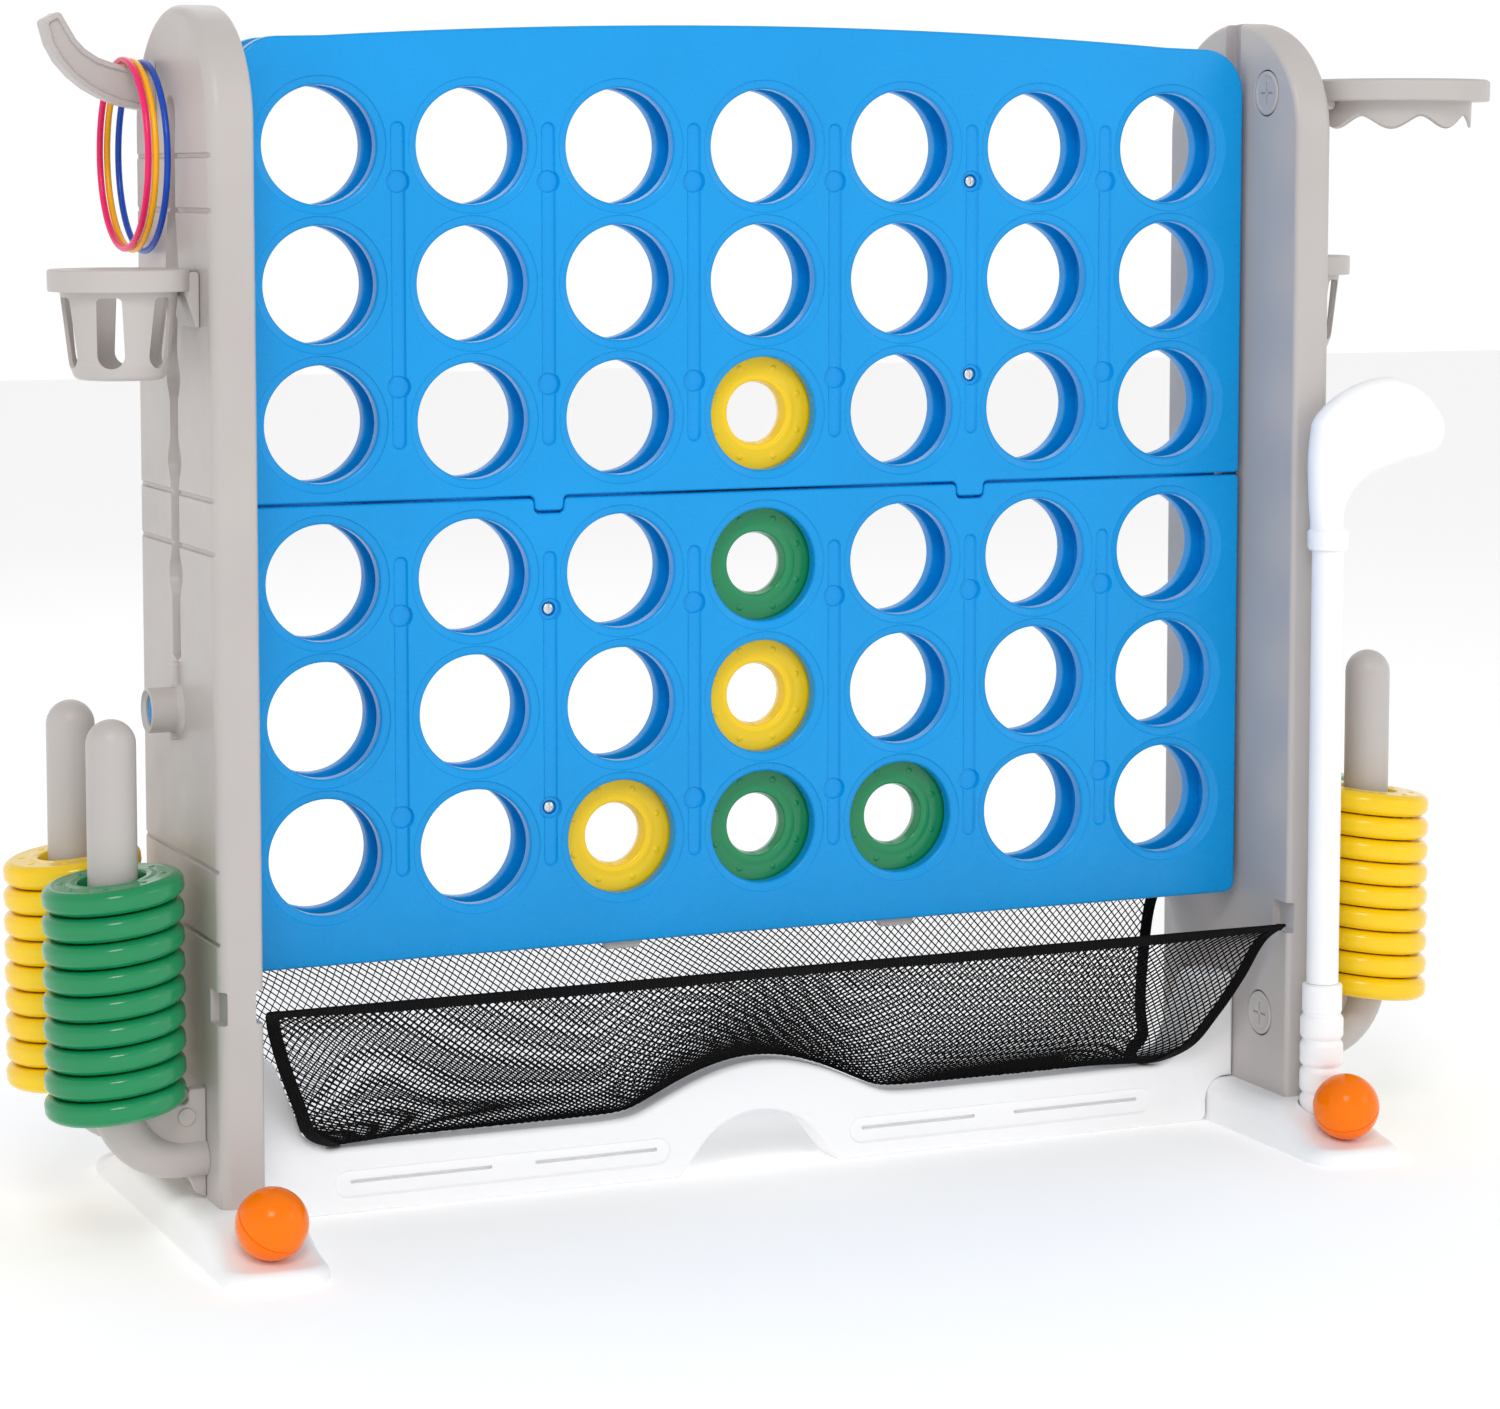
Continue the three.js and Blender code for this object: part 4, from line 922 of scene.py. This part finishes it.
def boss_form():
    """The socket that stands out from the leg, with a thin rim and a fillet at its foot."""
    reach = BOSS_REACH - LEG_OUTER_X
    outside = [(24.5, -1.5, 0), (22.5, 0.4, 3), (18.9, 3.2, 4), (18.9, reach, 1.2)]
    inside = [(16.6, reach, 0.8), (15.9, reach - 1.6, 1), (13.6, reach - 3.4, 0.8), (13.6, -1.5, 0)]
    socket = lathe(rounded(outside + inside, steps=4), 64, closed=True)
    form = Form().add_form(socket, shift(-LEG_OUTER_X, 0, BOSS_Z) @ spin("Y", -90))
    root = -LEG_OUTER_X + 1.5
    form.add_form(block((-LEG_OUTER_X - 4.5, -5.5, BOSS_Z + 17), (root, 5.5, BOSS_Z + 40), 2))
    return form.add_form(block((-LEG_OUTER_X - 7, -3, BOSS_Z - 26), (root, 3, BOSS_Z - 17), 1.5))


def cap_form():
    return turned([(0, 0, 0), (20, 0, 0), (20, 6.6, 1.4), (16.5, 6.8, 2), (15, 6.2, 2), (0, 6, 0)])


def cap_slots():
    """Four short slots that make a cross on a cap."""
    tool = Form()
    for k in range(4):
        tool.add_form(block((1.8, -1.0, 4.6), (10.5, 1.0, 8), 0.3), spin("Z", 90 * k))
    return tool


def foot_height(y):
    return FOOT_TOE + (FOOT_CROWN - FOOT_TOE) * smooth((206 - np.abs(y)) / (206 - 118))


def foot_surface(x, y):
    """Height of a foot's top about its own middle, with the seats that the balls rest in."""
    height = foot_height(y)
    for ball_y in (-BALL_Y, BALL_Y):
        away = np.hypot(x, y - ball_y)
        seat = BALL_Z - np.sqrt(np.clip((BALL_RADIUS + 0.3) ** 2 - away ** 2, 0, None))
        height = np.where(away < BALL_RADIUS, np.minimum(height, seat), height)
    return height


def foot_form():
    """The left foot: its rounded sides, the top with its seats, and the stick's socket."""
    size = (FOOT_HALF_WIDTH, FOOT_HALF_LENGTH)
    loop = np.array(stepped(rectangle((-size[0], -size[1]), size, 30, 10), 8))
    heights = foot_height(loop[:, 1])
    level = np.zeros(len(loop))
    shoulder = np.minimum(15, 0.66 * heights)
    sides = [(1.2, level), (0, level + 1.2)]
    for a in quarter(8):
        sides.append((shoulder * (1 - math.cos(a)), heights - shoulder * (1 - math.sin(a))))
    rings = np.array([np.column_stack([grown(loop, -inset), z]) for inset, z in sides])
    rim = rings[-1]
    edge = [tuple(p) for p in rim[:, :2]]
    socket = (FOOT_X - STICK_CENTRE[0], -STICK_CENTRE[1])
    hole = circle(socket, SOCKET_RADIUS + 0.8, 40)
    loose = [(float(u), float(v)) for u in np.arange(-36, 37, 8) for v in np.arange(-222, 223, 6)]
    for ball_y in (-BALL_Y, BALL_Y):
        for radius in (0.01, 4, 7, 10, 12, 14, 16, 18, 20, 22):
            loose += circle((0, ball_y), radius, 24)
    free = within(loose, grown(edge, -3)) & ~within(loose, circle(socket, 24))
    spots, given, triangles = filled([edge, hole], loose=[p for p, good in zip(loose, free) if good])
    tops = np.column_stack([spots, foot_surface(*spots.T)])
    for i, origin in enumerate(given):
        if origin < len(edge):
            tops[i] = rim[origin]
    lip = foot_height(np.array(hole)[:, 1])
    wall = [(0.8, lip), (0.2, lip - 0.3), (0, lip - 1.2), (0, 0 * lip + 26)]
    well = np.array([np.column_stack([circle(socket, SOCKET_RADIUS + out, 40), z]) for out, z in wall])
    form = bar(rings, last=False).add(tops, triangles).add_form(bar(well, first=False))
    return Form().add_form(form, shift(-FOOT_X, 0, 0))


def make_ends():
    leg = carved("leg", leg_form(), leg_cuts())
    foot = mesh_of("foot", foot_form(), 40)
    boss = mesh_of("boss", boss_form())
    cap = carved("cap", cap_form(), cap_slots(), 30)
    plug = mesh_of("plug", turned([(0, 0, 0), (13.2, 0, 0), (13.2, 9, 1), (5, 9.2, 2), (3.5, 8.2, 1),
                                   (0, 8.2, 0)], 48, 5))
    for (end, turn), lower in zip(ENDS, (("rear", "front"), ("front", "rear"))):
        shown(f"{end}_leg_shell", leg, "leg_grey", [f"{end}_leg"], turn)
        shown(f"{end}_leg_boss", boss, "leg_grey", [], turn)
        shown(f"{end}_foot_shell", foot, "white_plastic", [f"{end}_foot"], turn)
        shown(f"{end}_plug", plug, "board_blue", [f"{end}_boss_plug"],
              turn @ at(14 - BOSS_REACH, 0, BOSS_Z) @ spin("Y", -90))
        for side, (y, z) in zip(("upper", *lower), CAP_PLACES):
            shown(f"{end}_{side}_bolt_cap", cap, "leg_grey", [f"{end}_{side}_cap"],
                  turn @ at(-LEG_INNER_X - 6, y, z) @ spin("Y", 90))


# ---- Goal rail ---------------------------------------------------------------------------------

HUMP_RISE = 41.5
HUMP_HALF_WIDTH = 122
HUMP_SOFTNESS = 7
GOAL_HALF_WIDTH = 64
GOAL_HEIGHT = 54


def rail_top(x):
    """Height of the rail's top edge: level, with a hump over the goal arch."""
    lift = HUMP_RISE * np.cos(np.clip(np.abs(x) / HUMP_HALF_WIDTH, 0, 2) * math.pi / 2)
    return RAIL_HEIGHT + (lift + np.sqrt(lift ** 2 + HUMP_SOFTNESS ** 2)) / 2 - 0.3


def rail_form():
    """The goal arch, the ends that clear the feet, their posts and the humped top edge."""
    outline = []
    for angle in np.linspace(math.pi, 0, 33):
        lift = math.sin(angle)
        half = GOAL_HALF_WIDTH + 14 * (1 - lift) ** 4
        outline.append((math.cos(angle) * half, GOAL_HEIGHT * lift, 0))
    right = [(459, 0, 7)]
    right += [(480 - math.cos(a) * 21, 20 + math.sin(a) * 21, 0)
              for a in np.linspace(0, math.pi / 2 - 0.02, 7)]
    right += [(486.7, 41, 0), (486.7, 140, 7), (452, 140, 12), (441, 112, 30), (424, 66, 30),
              (404, 58, 18), (160, RAIL_HEIGHT + 0.2, 0)]
    outline += right
    outline += [(x, float(rail_top(x)), 0) for x in np.linspace(150, -150, 51)]
    outline += [(-x, z, r) for x, z, r in reversed(right)]
    plate = Plate(stepped(rounded(outline, steps=6), 25), round_edge(5, 2 * RAIL_HALF_THICKNESS))
    near, far, z, radius, depth = 99.6, 386.4, 26.3, 11.6, 2.0
    bars = [((-far, z), (-near, z), radius, depth), ((near, z), (far, z), radius, depth)]
    plate.front_lines, relief = sunken(bars, 0.8, 1.8)
    return plate.form(-RAIL_HALF_THICKNESS, relief)


def rail_cuts():
    """Long slots in both faces of the rail."""
    tool = Form()
    for low, high in ((100, 215), (255, 384), (-100, -215), (-255, -384)):
        slot = block((low, -30, 26), (high, -RAIL_HALF_THICKNESS + 7, 29.4), 1)
        tool.add_form(slot)
        tool.add_form(slot, spin("Z", 180))
    return tool


def make_rail():
    shown("goal_rail_shell", carved("rail", rail_form(), rail_cuts()), "white_plastic", ["goal_rail"])


# ---- Catch net ---------------------------------------------------------------------------------

# The net's end edge: (distance from the middle, y, z) from the front band to the rear band.
NET_END = [(484, -115, NET_TOP_Z), (478, -95, 187), (463, -76, 146), (447, -60, 111), (428, -38, 76),
           (401, -14, 60.5), (399, 0, 60), (401, 14, 60.5), (428, 40, 72), (440, 66, 92),
           (455, 88, 140), (471, 104, 184), (484, 115, NET_TOP_Z)]
NET_PITCH = 5.5
THREAD_HALF_WIDTH = 0.37
THREAD_HALF_DEPTH = 0.66
THREAD_OFFSET = 0.3
NET_STEP = 8.0
BAND_WIDTH = 9.5
BAND_FOLD = 1.6
BAND_HALF_THICKNESS = 1.25


def net_surface(s, t):
    """The hung net: s from -1 to 1 along the board, t from 0 at the front edge to 1 at the rear."""
    end = curve_at(NET_END, t)
    away = np.abs(2 * t - 1)
    x = s * end[:, 0]
    bottom = rail_top(x) + 1.6
    y = np.sign(2 * t - 1) * LEG_HALF_DEPTH * away ** 0.86
    z = bottom + (NET_TOP_Z - bottom) * away ** 1.18
    near_end = smooth((np.abs(s) - 0.72) / 0.28)
    y = y + (end[:, 1] - y) * near_end
    z = z + (end[:, 2] - z) * near_end
    belly = np.sin(math.pi * away) ** 2 * (1 - near_end)
    z = z - 3.0 * belly * (1 + 0.4 * np.sin(9.0 * s + 2.0 * np.sign(y)))
    return np.stack([x, y, z], 1)


def net_bar(s, t, section, inward=None, offset=0.0):
    """A bar of a section of (across, up) points that follows the net along (s, t)."""
    step = 1e-3
    along = net_surface(np.clip(s + step, -1, 1), t) - net_surface(np.clip(s - step, -1, 1), t)
    girth = net_surface(s, np.clip(t + step, 0, 1)) - net_surface(s, np.clip(t - step, 0, 1))
    normal = unit(np.cross(along, girth))
    middle = net_surface(s, t)
    side = np.cross(normal, unit(np.gradient(middle, axis=0)))
    if inward:
        side = side * np.sign(side @ np.array(inward, float))[:, None]
    middle = middle + normal * offset
    return bar(np.stack([middle + side * p + normal * q for p, q in section], 1))


def thread_form():
    """Square threads that cross at right angles on the cut sheet, each a closed bar."""
    width, length = NET_FLAT[0] / MM, NET_FLAT[1] / MM
    spacing = NET_PITCH * math.sqrt(2)
    a, b = THREAD_HALF_WIDTH, THREAD_HALF_DEPTH
    form = Form()
    for lean in (1, -1):
        for start in np.arange(-length - width / 2 + spacing / 2, width / 2 + length, spacing):
            low = max(0.0, -width / 2 - lean * start)
            high = min(length, width / 2 - lean * start)
            if high - low < 3:
                continue
            down = np.linspace(low, high, max(2, int(round((high - low) * math.sqrt(2) / NET_STEP)) + 1))
            s = np.clip((start + lean * down) / (width / 2), -1, 1)
            form.add_form(net_bar(s, down / length, [(a, b), (-a, b), (-a, -b), (a, -b)],
                                  offset=lean * THREAD_OFFSET))
    return form


def make_net():
    mesh = bpy.data.meshes.new("net")
    form = thread_form()
    mesh.from_pydata((np.concatenate(form.points) * MM).tolist(), [], form.faces)
    net = linked("catch_net_mesh", mesh)
    mesh.materials.append(net_thread("net_thread"))
    net.matrix_world = HOME
    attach(net, "frame")
    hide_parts("catch_net")
    tape = webbing("net_tape")
    section = rounded([(-BAND_FOLD, -BAND_HALF_THICKNESS, 1.1), (BAND_WIDTH, -BAND_HALF_THICKNESS, 0.5),
                       (BAND_WIDTH, BAND_HALF_THICKNESS, 0.5), (-BAND_FOLD, BAND_HALF_THICKNESS, 1.1)],
                      steps=2)
    run, girth = np.linspace(-1, 1, 161), np.linspace(0, 1, 97)
    for name, s, t, inward in (("front", run, 0 * run, (0, 0, -1)),
                               ("rear", run, 0 * run + 1, (0, 0, -1)),
                               ("left", 0 * girth - 1, girth, (1, 0, 0)),
                               ("right", 0 * girth + 1, girth, (-1, 0, 0))):
        make(f"net_{name}_band", net_bar(s, t, section, inward), "net_black", look=tape)


# ---- Pieces hung on the legs -------------------------------------------------------------------

PEG_BEND = 55
ELBOW_RADIUS = 15.5
ELBOW_Z = 75
TOSS_RINGS = {"pink": (549, 903.4), "amber": (542.6, 902.5), "blue": (532.8, 901.4)}
TOSS_RADIUS = 78.7
TOSS_THICKNESS = 2.8


def peg_form():
    """The front left peg: a post, the elbow that carries it and the web that stiffens it."""
    y = -PEG_Y
    # The peg's centre line from its domed top down to the leg: (x, z, radius, lean).
    line = [(-PEG_X, PEG_TOP - PEG_RADIUS * (1 - math.sin(a)), PEG_RADIUS * math.cos(a), 0)
            for a in np.linspace(math.pi / 2 - 0.03, 0, 9)]
    line += [(-PEG_X, z, PEG_RADIUS, 0) for z in (380, 300, 220, 150)]
    line += [(-PEG_X + PEG_BEND * (1 - math.cos(a)), ELBOW_Z + PEG_BEND * (1 - math.sin(a)),
              PEG_RADIUS + (ELBOW_RADIUS - PEG_RADIUS) * a / (math.pi / 2), a) for a in quarter(13)]
    line.append((-LEG_FACE, ELBOW_Z, ELBOW_RADIUS, math.pi / 2))
    around = np.linspace(0, 2 * math.pi, 32, endpoint=False)
    rings = [np.stack([x + size * math.cos(lean) * np.cos(around), y + size * np.sin(around),
                       z + size * math.sin(lean) * np.cos(around)], 1) for x, z, size, lean in line]
    form = bar(np.array(rings))
    web = rounded([(-LEG_FACE, 74, 0), (-LEG_FACE, 134, 0), (-540.5, 134, 3), (-539.5, 122, 4),
                   (-598, 120.6, 2), (-594, 96, 8), (-570, 76, 8), (-548, 70, 4)], steps=4)
    form.add_form(Plate(web, round_edge(1.6, 12, 3)).form(y - 6))
    screw = turned([(0, -2, 0), (7.6, -2, 0), (7.6, 1.6, 0.9), (0, 2.1, 0)], 32)
    for face in (-1, 1):
        form.add_form(screw, shift(-542, y + face * 6, 111) @ spin("X", -face * 90))
    lug = rounded([(-LEG_FACE, 66, 0), (-541, 62, 2), (-534, 46, 3), (-LEG_FACE, 42, 0)], steps=3)
    return form.add_form(Plate(lug, round_edge(1, 7, 2)).form(y - 3.5))


def make_pegs():
    front = mesh_of("front_peg", peg_form())
    rear = mesh_of("rear_peg", Form().add_form(peg_form(), shift(0, 2 * PEG_Y, 0)))
    for (end, turn), names in zip(ENDS, (("front", "rear"), ("rear", "front"))):
        for mesh, name in zip((front, rear), names):
            shown(f"{end}_{name}_ring_peg", mesh, "leg_grey", [f"{end}_{name}_peg"], turn)


# The hook's curved arm in (x, z), anticlockwise, tapering to an upturned square tip.
HOOK_UPPER = [(-525.3, 973), (-549, 976.7), (-560.6, 979.7), (-572, 983.5), (-583, 990.5),
              (-591, 999), (-597.4, 1010), (-604.2, 1021.8)]
HOOK_LOWER = [(-619, 1013.4), (-613.7, 994), (-606, 980), (-595, 967.5), (-582, 957.4),
              (-569, 950.4), (-556, 945), (-543, 942), (-525.3, 938.5)]


def tip_rounded(outline, radius):
    """The hook's outline in short steps, with the two corners of its tip rounded."""
    tip = max(range(len(outline)), key=lambda i: outline[i][1])
    corners = [(x, z, radius if i in (tip, tip + 1) else 0) for i, (x, z) in enumerate(outline)]
    return stepped(rounded(corners, steps=4), 5)


def hook_form():
    outline = HOOK_UPPER + HOOK_LOWER
    plate = Plate(tip_rounded(outline, 4), round_edge(1.8, 24, 4))
    plate.recess(tip_rounded(grown(outline, -4.6), 1.6), [(0.6, 0), (0, 0.5), (-0.6, 2.6)])
    flange = Plate(rectangle((-HOOK_Y - 17, 930), (-HOOK_Y + 17, 981), 5, 4), round_edge(1.5, 4, 3, 0.2))
    return plate.form(HOOK_Y - 12).add_form(flange.form(-LEG_OUTER_X - 4.3, sideways=True))


def make_toss():
    make("toss_hook_arm", hook_form(), "leg_grey", ["toss_hook"])
    ring = lathe(circle((TOSS_RADIUS, 0), TOSS_THICKNESS, 16), 128, closed=True)
    for colour, (x, z) in TOSS_RINGS.items():
        name = f"toss_{colour}"
        make(f"toss_ring_{colour}_tube", ring, name, [f"toss_ring_{colour}"],
             HOME @ at(-x, HOOK_Y, z) @ spin("Y", 90), name, 60)


def cup_form():
    """The cup's bowl and rim about its own axis."""
    return turned([(0, 721, 0), (36, 721, 7), (40.6, 733, 6), (47.6, 792.5, 0.8), (57.4, 792.5, 1.2),
                   (57.7, 810.3, 3.2), (54, 810.6, 1), (46.2, 808.8, 2.5), (44.6, 792, 1.5),
                   (37.8, 735, 5), (34, 724, 5), (0, 724, 0)], 120, 5)


def cup_windows():
    tool = Form()
    for k in range(6):
        outline = rounded([(-11.5, 731, 11), (11.5, 731, 11), (10.2, 788, 4), (-10.2, 788, 4)], steps=7)
        tool.add_form(Plate(outline, [(0, 0), (0, 30)]).form(-60), spin("Z", 60 * k - 24.7))
    return tool


def cup_bracket():
    """The gusset and plate that join the cup's rim to the leg, about the cup's axis."""
    face = -LEG_FACE - CUP_CENTRE[0]
    outline = rounded([(face - 3.6, 763, 0), (face, 763, 0), (face, 808, 3), (47.5, 808, 3),
                       (47.5, 791, 0)], steps=3)
    return Plate(outline, round_edge(1.4, 50, 3)).form(-25)


def make_cups():
    bowl = carved("cup", cup_form(), cup_windows())
    bracket = mesh_of("cup_bracket", cup_bracket(), 32)
    for end, turn in ENDS:
        place = turn @ at(*CUP_CENTRE, 0)
        shown(f"{end}_cup", bowl, "leg_grey", [f"{end}_cup_holder"], place)
        shown(f"{end}_cup_bracket", bracket, "leg_grey", [], place)


def hoop_form():
    """The hoop's flat rim and scalloped skirt about its own axis."""
    outside = [(70.2, 934, 1.2), (73, 934, 1.2), (73.6, 954, 1), (89.2, 954, 1.5), (90, 956, 1),
               (90, 972, 1.8), (87, 973.9, 1), (73.5, 973.2, 2), (70.6, 969, 2)]

    def scallop(angle, height):
        lobe = 0.5 + 0.5 * math.cos(8 * (angle + math.radians(123.3)))
        drop = 12 + 12 * lobe ** 0.8
        return height if height > 953 else 954 - (954 - height) * drop / 20

    return lathe(rounded(outside, steps=4), 180, closed=True, warp=scallop)


def make_hoop():
    x, y = HOOP_CENTRE
    make("hoop_rim", hoop_form(), "leg_grey", ["hoop"], HOME @ at(x, y, 0))
    make("hoop_arm", block((LEG_FACE, y - 22, 946), (x - 73, y + 22, 972), 3), "leg_grey")


# ---- Stick, balls and sliders ------------------------------------------------------------------

# The blade's outline in (x, z) about the stick's axis, clockwise from its neck, and its grooves.
HEAD = [(-14.6, 552), (-19.5, 600), (-20, 636), (-18, 654), (-16, 665), (-9, 674), (4, 685),
        (20, 694), (36, 700), (50, 703), (60, 704), (73, 702), (85, 698), (96, 692), (107, 681),
        (114, 673), (119, 664), (121, 654), (119, 646), (115, 639), (108, 634), (97, 631),
        (81, 628), (65, 624), (51, 619), (37, 613), (25, 603), (18, 593), (14.5, 584), (14.6, 552)]
HEAD_GROOVES = [[(2, 667), (20, 672), (45, 680), (88, 687)], [(0, 654), (24, 662), (60, 671), (98, 676)],
                [(-3, 639), (25, 650), (60, 660), (102, 665)],
                [(-3, 627), (28, 640), (60, 650), (106, 653)]]
HEAD_HALF_THICKNESS = 13.0
HEAD_ROLL = 11.0


def grip_form():
    corners = [(0, 26.3, 0), (16.5, 26.3, 2)]
    for low, high, radius in ((27.5, 48.5, 19.4), (48.5, 73, 19.8), (73, 98, 19.8), (98, 122, 19.8)):
        corners += [(radius, low + 3.5, 6), (radius, high - 3.5, 6), (16.8, high, 1.4)]
    corners += [(18.2, 125, 1.2), (18.2, 149, 1.6), (15.2, GRIP_TOP, 0.5), (0, GRIP_TOP, 0)]
    return turned(corners, steps=5)


def shaft_form():
    low, high = GRIP_TOP + 0.2, 547.8
    return turned([(0, low, 0), (14.6, low, 0.5), (14.6, high, 0.5), (0, high, 0)])


def head_form():
    """The blade: a pillowed plate that narrows into the neck, with four shallow grooves."""
    outline = curve_at(HEAD[::-1], np.linspace(0, 1, 130))
    half = HEAD_HALF_THICKNESS
    edge = [(-HEAD_ROLL * (1 - math.sin(a)), half * (1 - math.cos(a)))
            for a in np.linspace(0, math.pi, 15)]
    neck = smooth((outline[:, 1] - 550) / 26)
    plate = Plate(outline, edge, np.maximum(neck, 0.1))
    grooves = [curve_at(points, np.linspace(0, 1, 24)) for points in HEAD_GROOVES]
    for groove in grooves:
        for step in (-1.6, -0.8, 0, 0.8, 1.6):
            plate.front_lines.append([tuple(p) for p in groove + [0, step]])

    def depth(u, v):
        sunk = np.zeros(len(u))
        for path in grooves:
            away = np.abs(v - np.interp(u, path[:, 0], path[:, 1]))
            ends = smooth((u - path[0, 0]) / 6) * smooth((path[-1, 0] - u) / 6)
            sunk = np.maximum(sunk, 0.8 * smooth(1 - away / 1.6) * ends)
        return sunk

    collar = turned([(0, 548, 0), (17.2, 548, 1.5), (18.8, 550, 1.5), (18.8, 565, 2), (16.4, 567.5, 1),
                     (14, 568, 0), (0, 568, 0)])
    return plate.form(-half, depth).add_form(collar)


def make_stick():
    for name, form in (("head", head_form()), ("shaft", shaft_form()), ("grip", grip_form())):
        make(f"stick_{name}_shell", form, "white_plastic", [f"stick_{name}"],
             HOME @ at(*STICK_CENTRE, 0), "stick")


def ball_form():
    """A ball with a fine moulded seam round its middle."""
    radius = BALL_RADIUS - 0.1
    seam = [(radius, -1.0), (radius - 1.0, -0.4), (radius - 1.0, 0.4), (radius, 1.0)]
    half = [(radius * math.cos(a), radius * math.sin(a)) for a in quarter(25)[1:-1]]
    lower = [(r, -z) for r, z in reversed(half)]
    return lathe([(0, -BALL_RADIUS), *lower, *seam, *half, (0, BALL_RADIUS)], 96)


def make_balls():
    for end, side, tilt, swing in (("left", -1, 38, 18), ("right", 1, 30, -24)):
        form = Form().add_form(ball_form(), spin("X", tilt) @ spin("Y", swing))
        make(f"{end}_ball_moulded", form, "ball_orange", [f"{end}_ball"],
             HOME @ at(side * FOOT_X, -BALL_Y, BALL_Z), f"{end}_ball", 40)


def slider_form():
    """The right release slider: a bar, the pads under the rings and a finger tab."""
    form = block((2, -22.2, 219), (413, -13.3, 232), 1.2)
    for x in (9.5, 135, 270, 405):
        form.add_form(block((x - 7.5, -22.0, 219.3), (x + 7.5, 12, 225.8), 1.2))
        form.add_form(block((x - 7.5, -12, 219.3), (x + 7.5, 12, 252.3), 1.5))
    tab = rounded([(112, 222, 2), (118, 211, 2.5), (148, 211, 2.5), (154, 222, 2)], steps=4)
    return form.add_form(Plate(tab, round_edge(1.8, 8, 3)).form(-22.2))


def make_sliders():
    for end, side in (("right", 1), ("left", -1)):
        form = Form().add_form(slider_form(), Matrix.Diagonal((side, 1, 1, 1)))
        make(f"{end}_slider", form, "leg_grey", [f"{end}_release_slider"], body=f"{end}_slider")


# ---- Assembly ----------------------------------------------------------------------------------

make_camera()
make_lamps()
make_sky()
make_floor()

# Each plastic's display colour and roughness, and what sets it apart from the others.
PLASTICS = {"board_blue": ((2, 151, 224), 0.28, {"ripple": 0.0006, "shine": 0.3}),
            "leg_grey": ((190, 184, 181), 0.34, {}),
            "white_plastic": ((251, 251, 252), 0.36, {"mottle": 0.01}),
            "ring_yellow": ((250, 207, 6), 0.2, {"coat": 0.25}),
            "ring_green": ((16, 138, 84), 0.2, {"coat": 0.25}),
            "toss_pink": ((240, 30, 106), 0.26, {}),
            "toss_amber": ((252, 180, 10), 0.26, {}),
            "toss_blue": ((14, 74, 190), 0.26, {}),
            "ball_orange": ((255, 122, 0), 0.14, {"coat": 0.06, "ripple": 0.0002, "shine": 0.18})}
LOOKS = {name: plastic(name, display, roughness, **rest)
         for name, (display, roughness, rest) in PLASTICS.items()}
LOOKS["screw_steel"] = steel("screw_steel")

make_board()
make_rings()
make_ends()
make_rail()
make_net()
make_pegs()
make_toss()
make_cups()
make_hoop()
make_stick()
make_balls()
make_sliders()
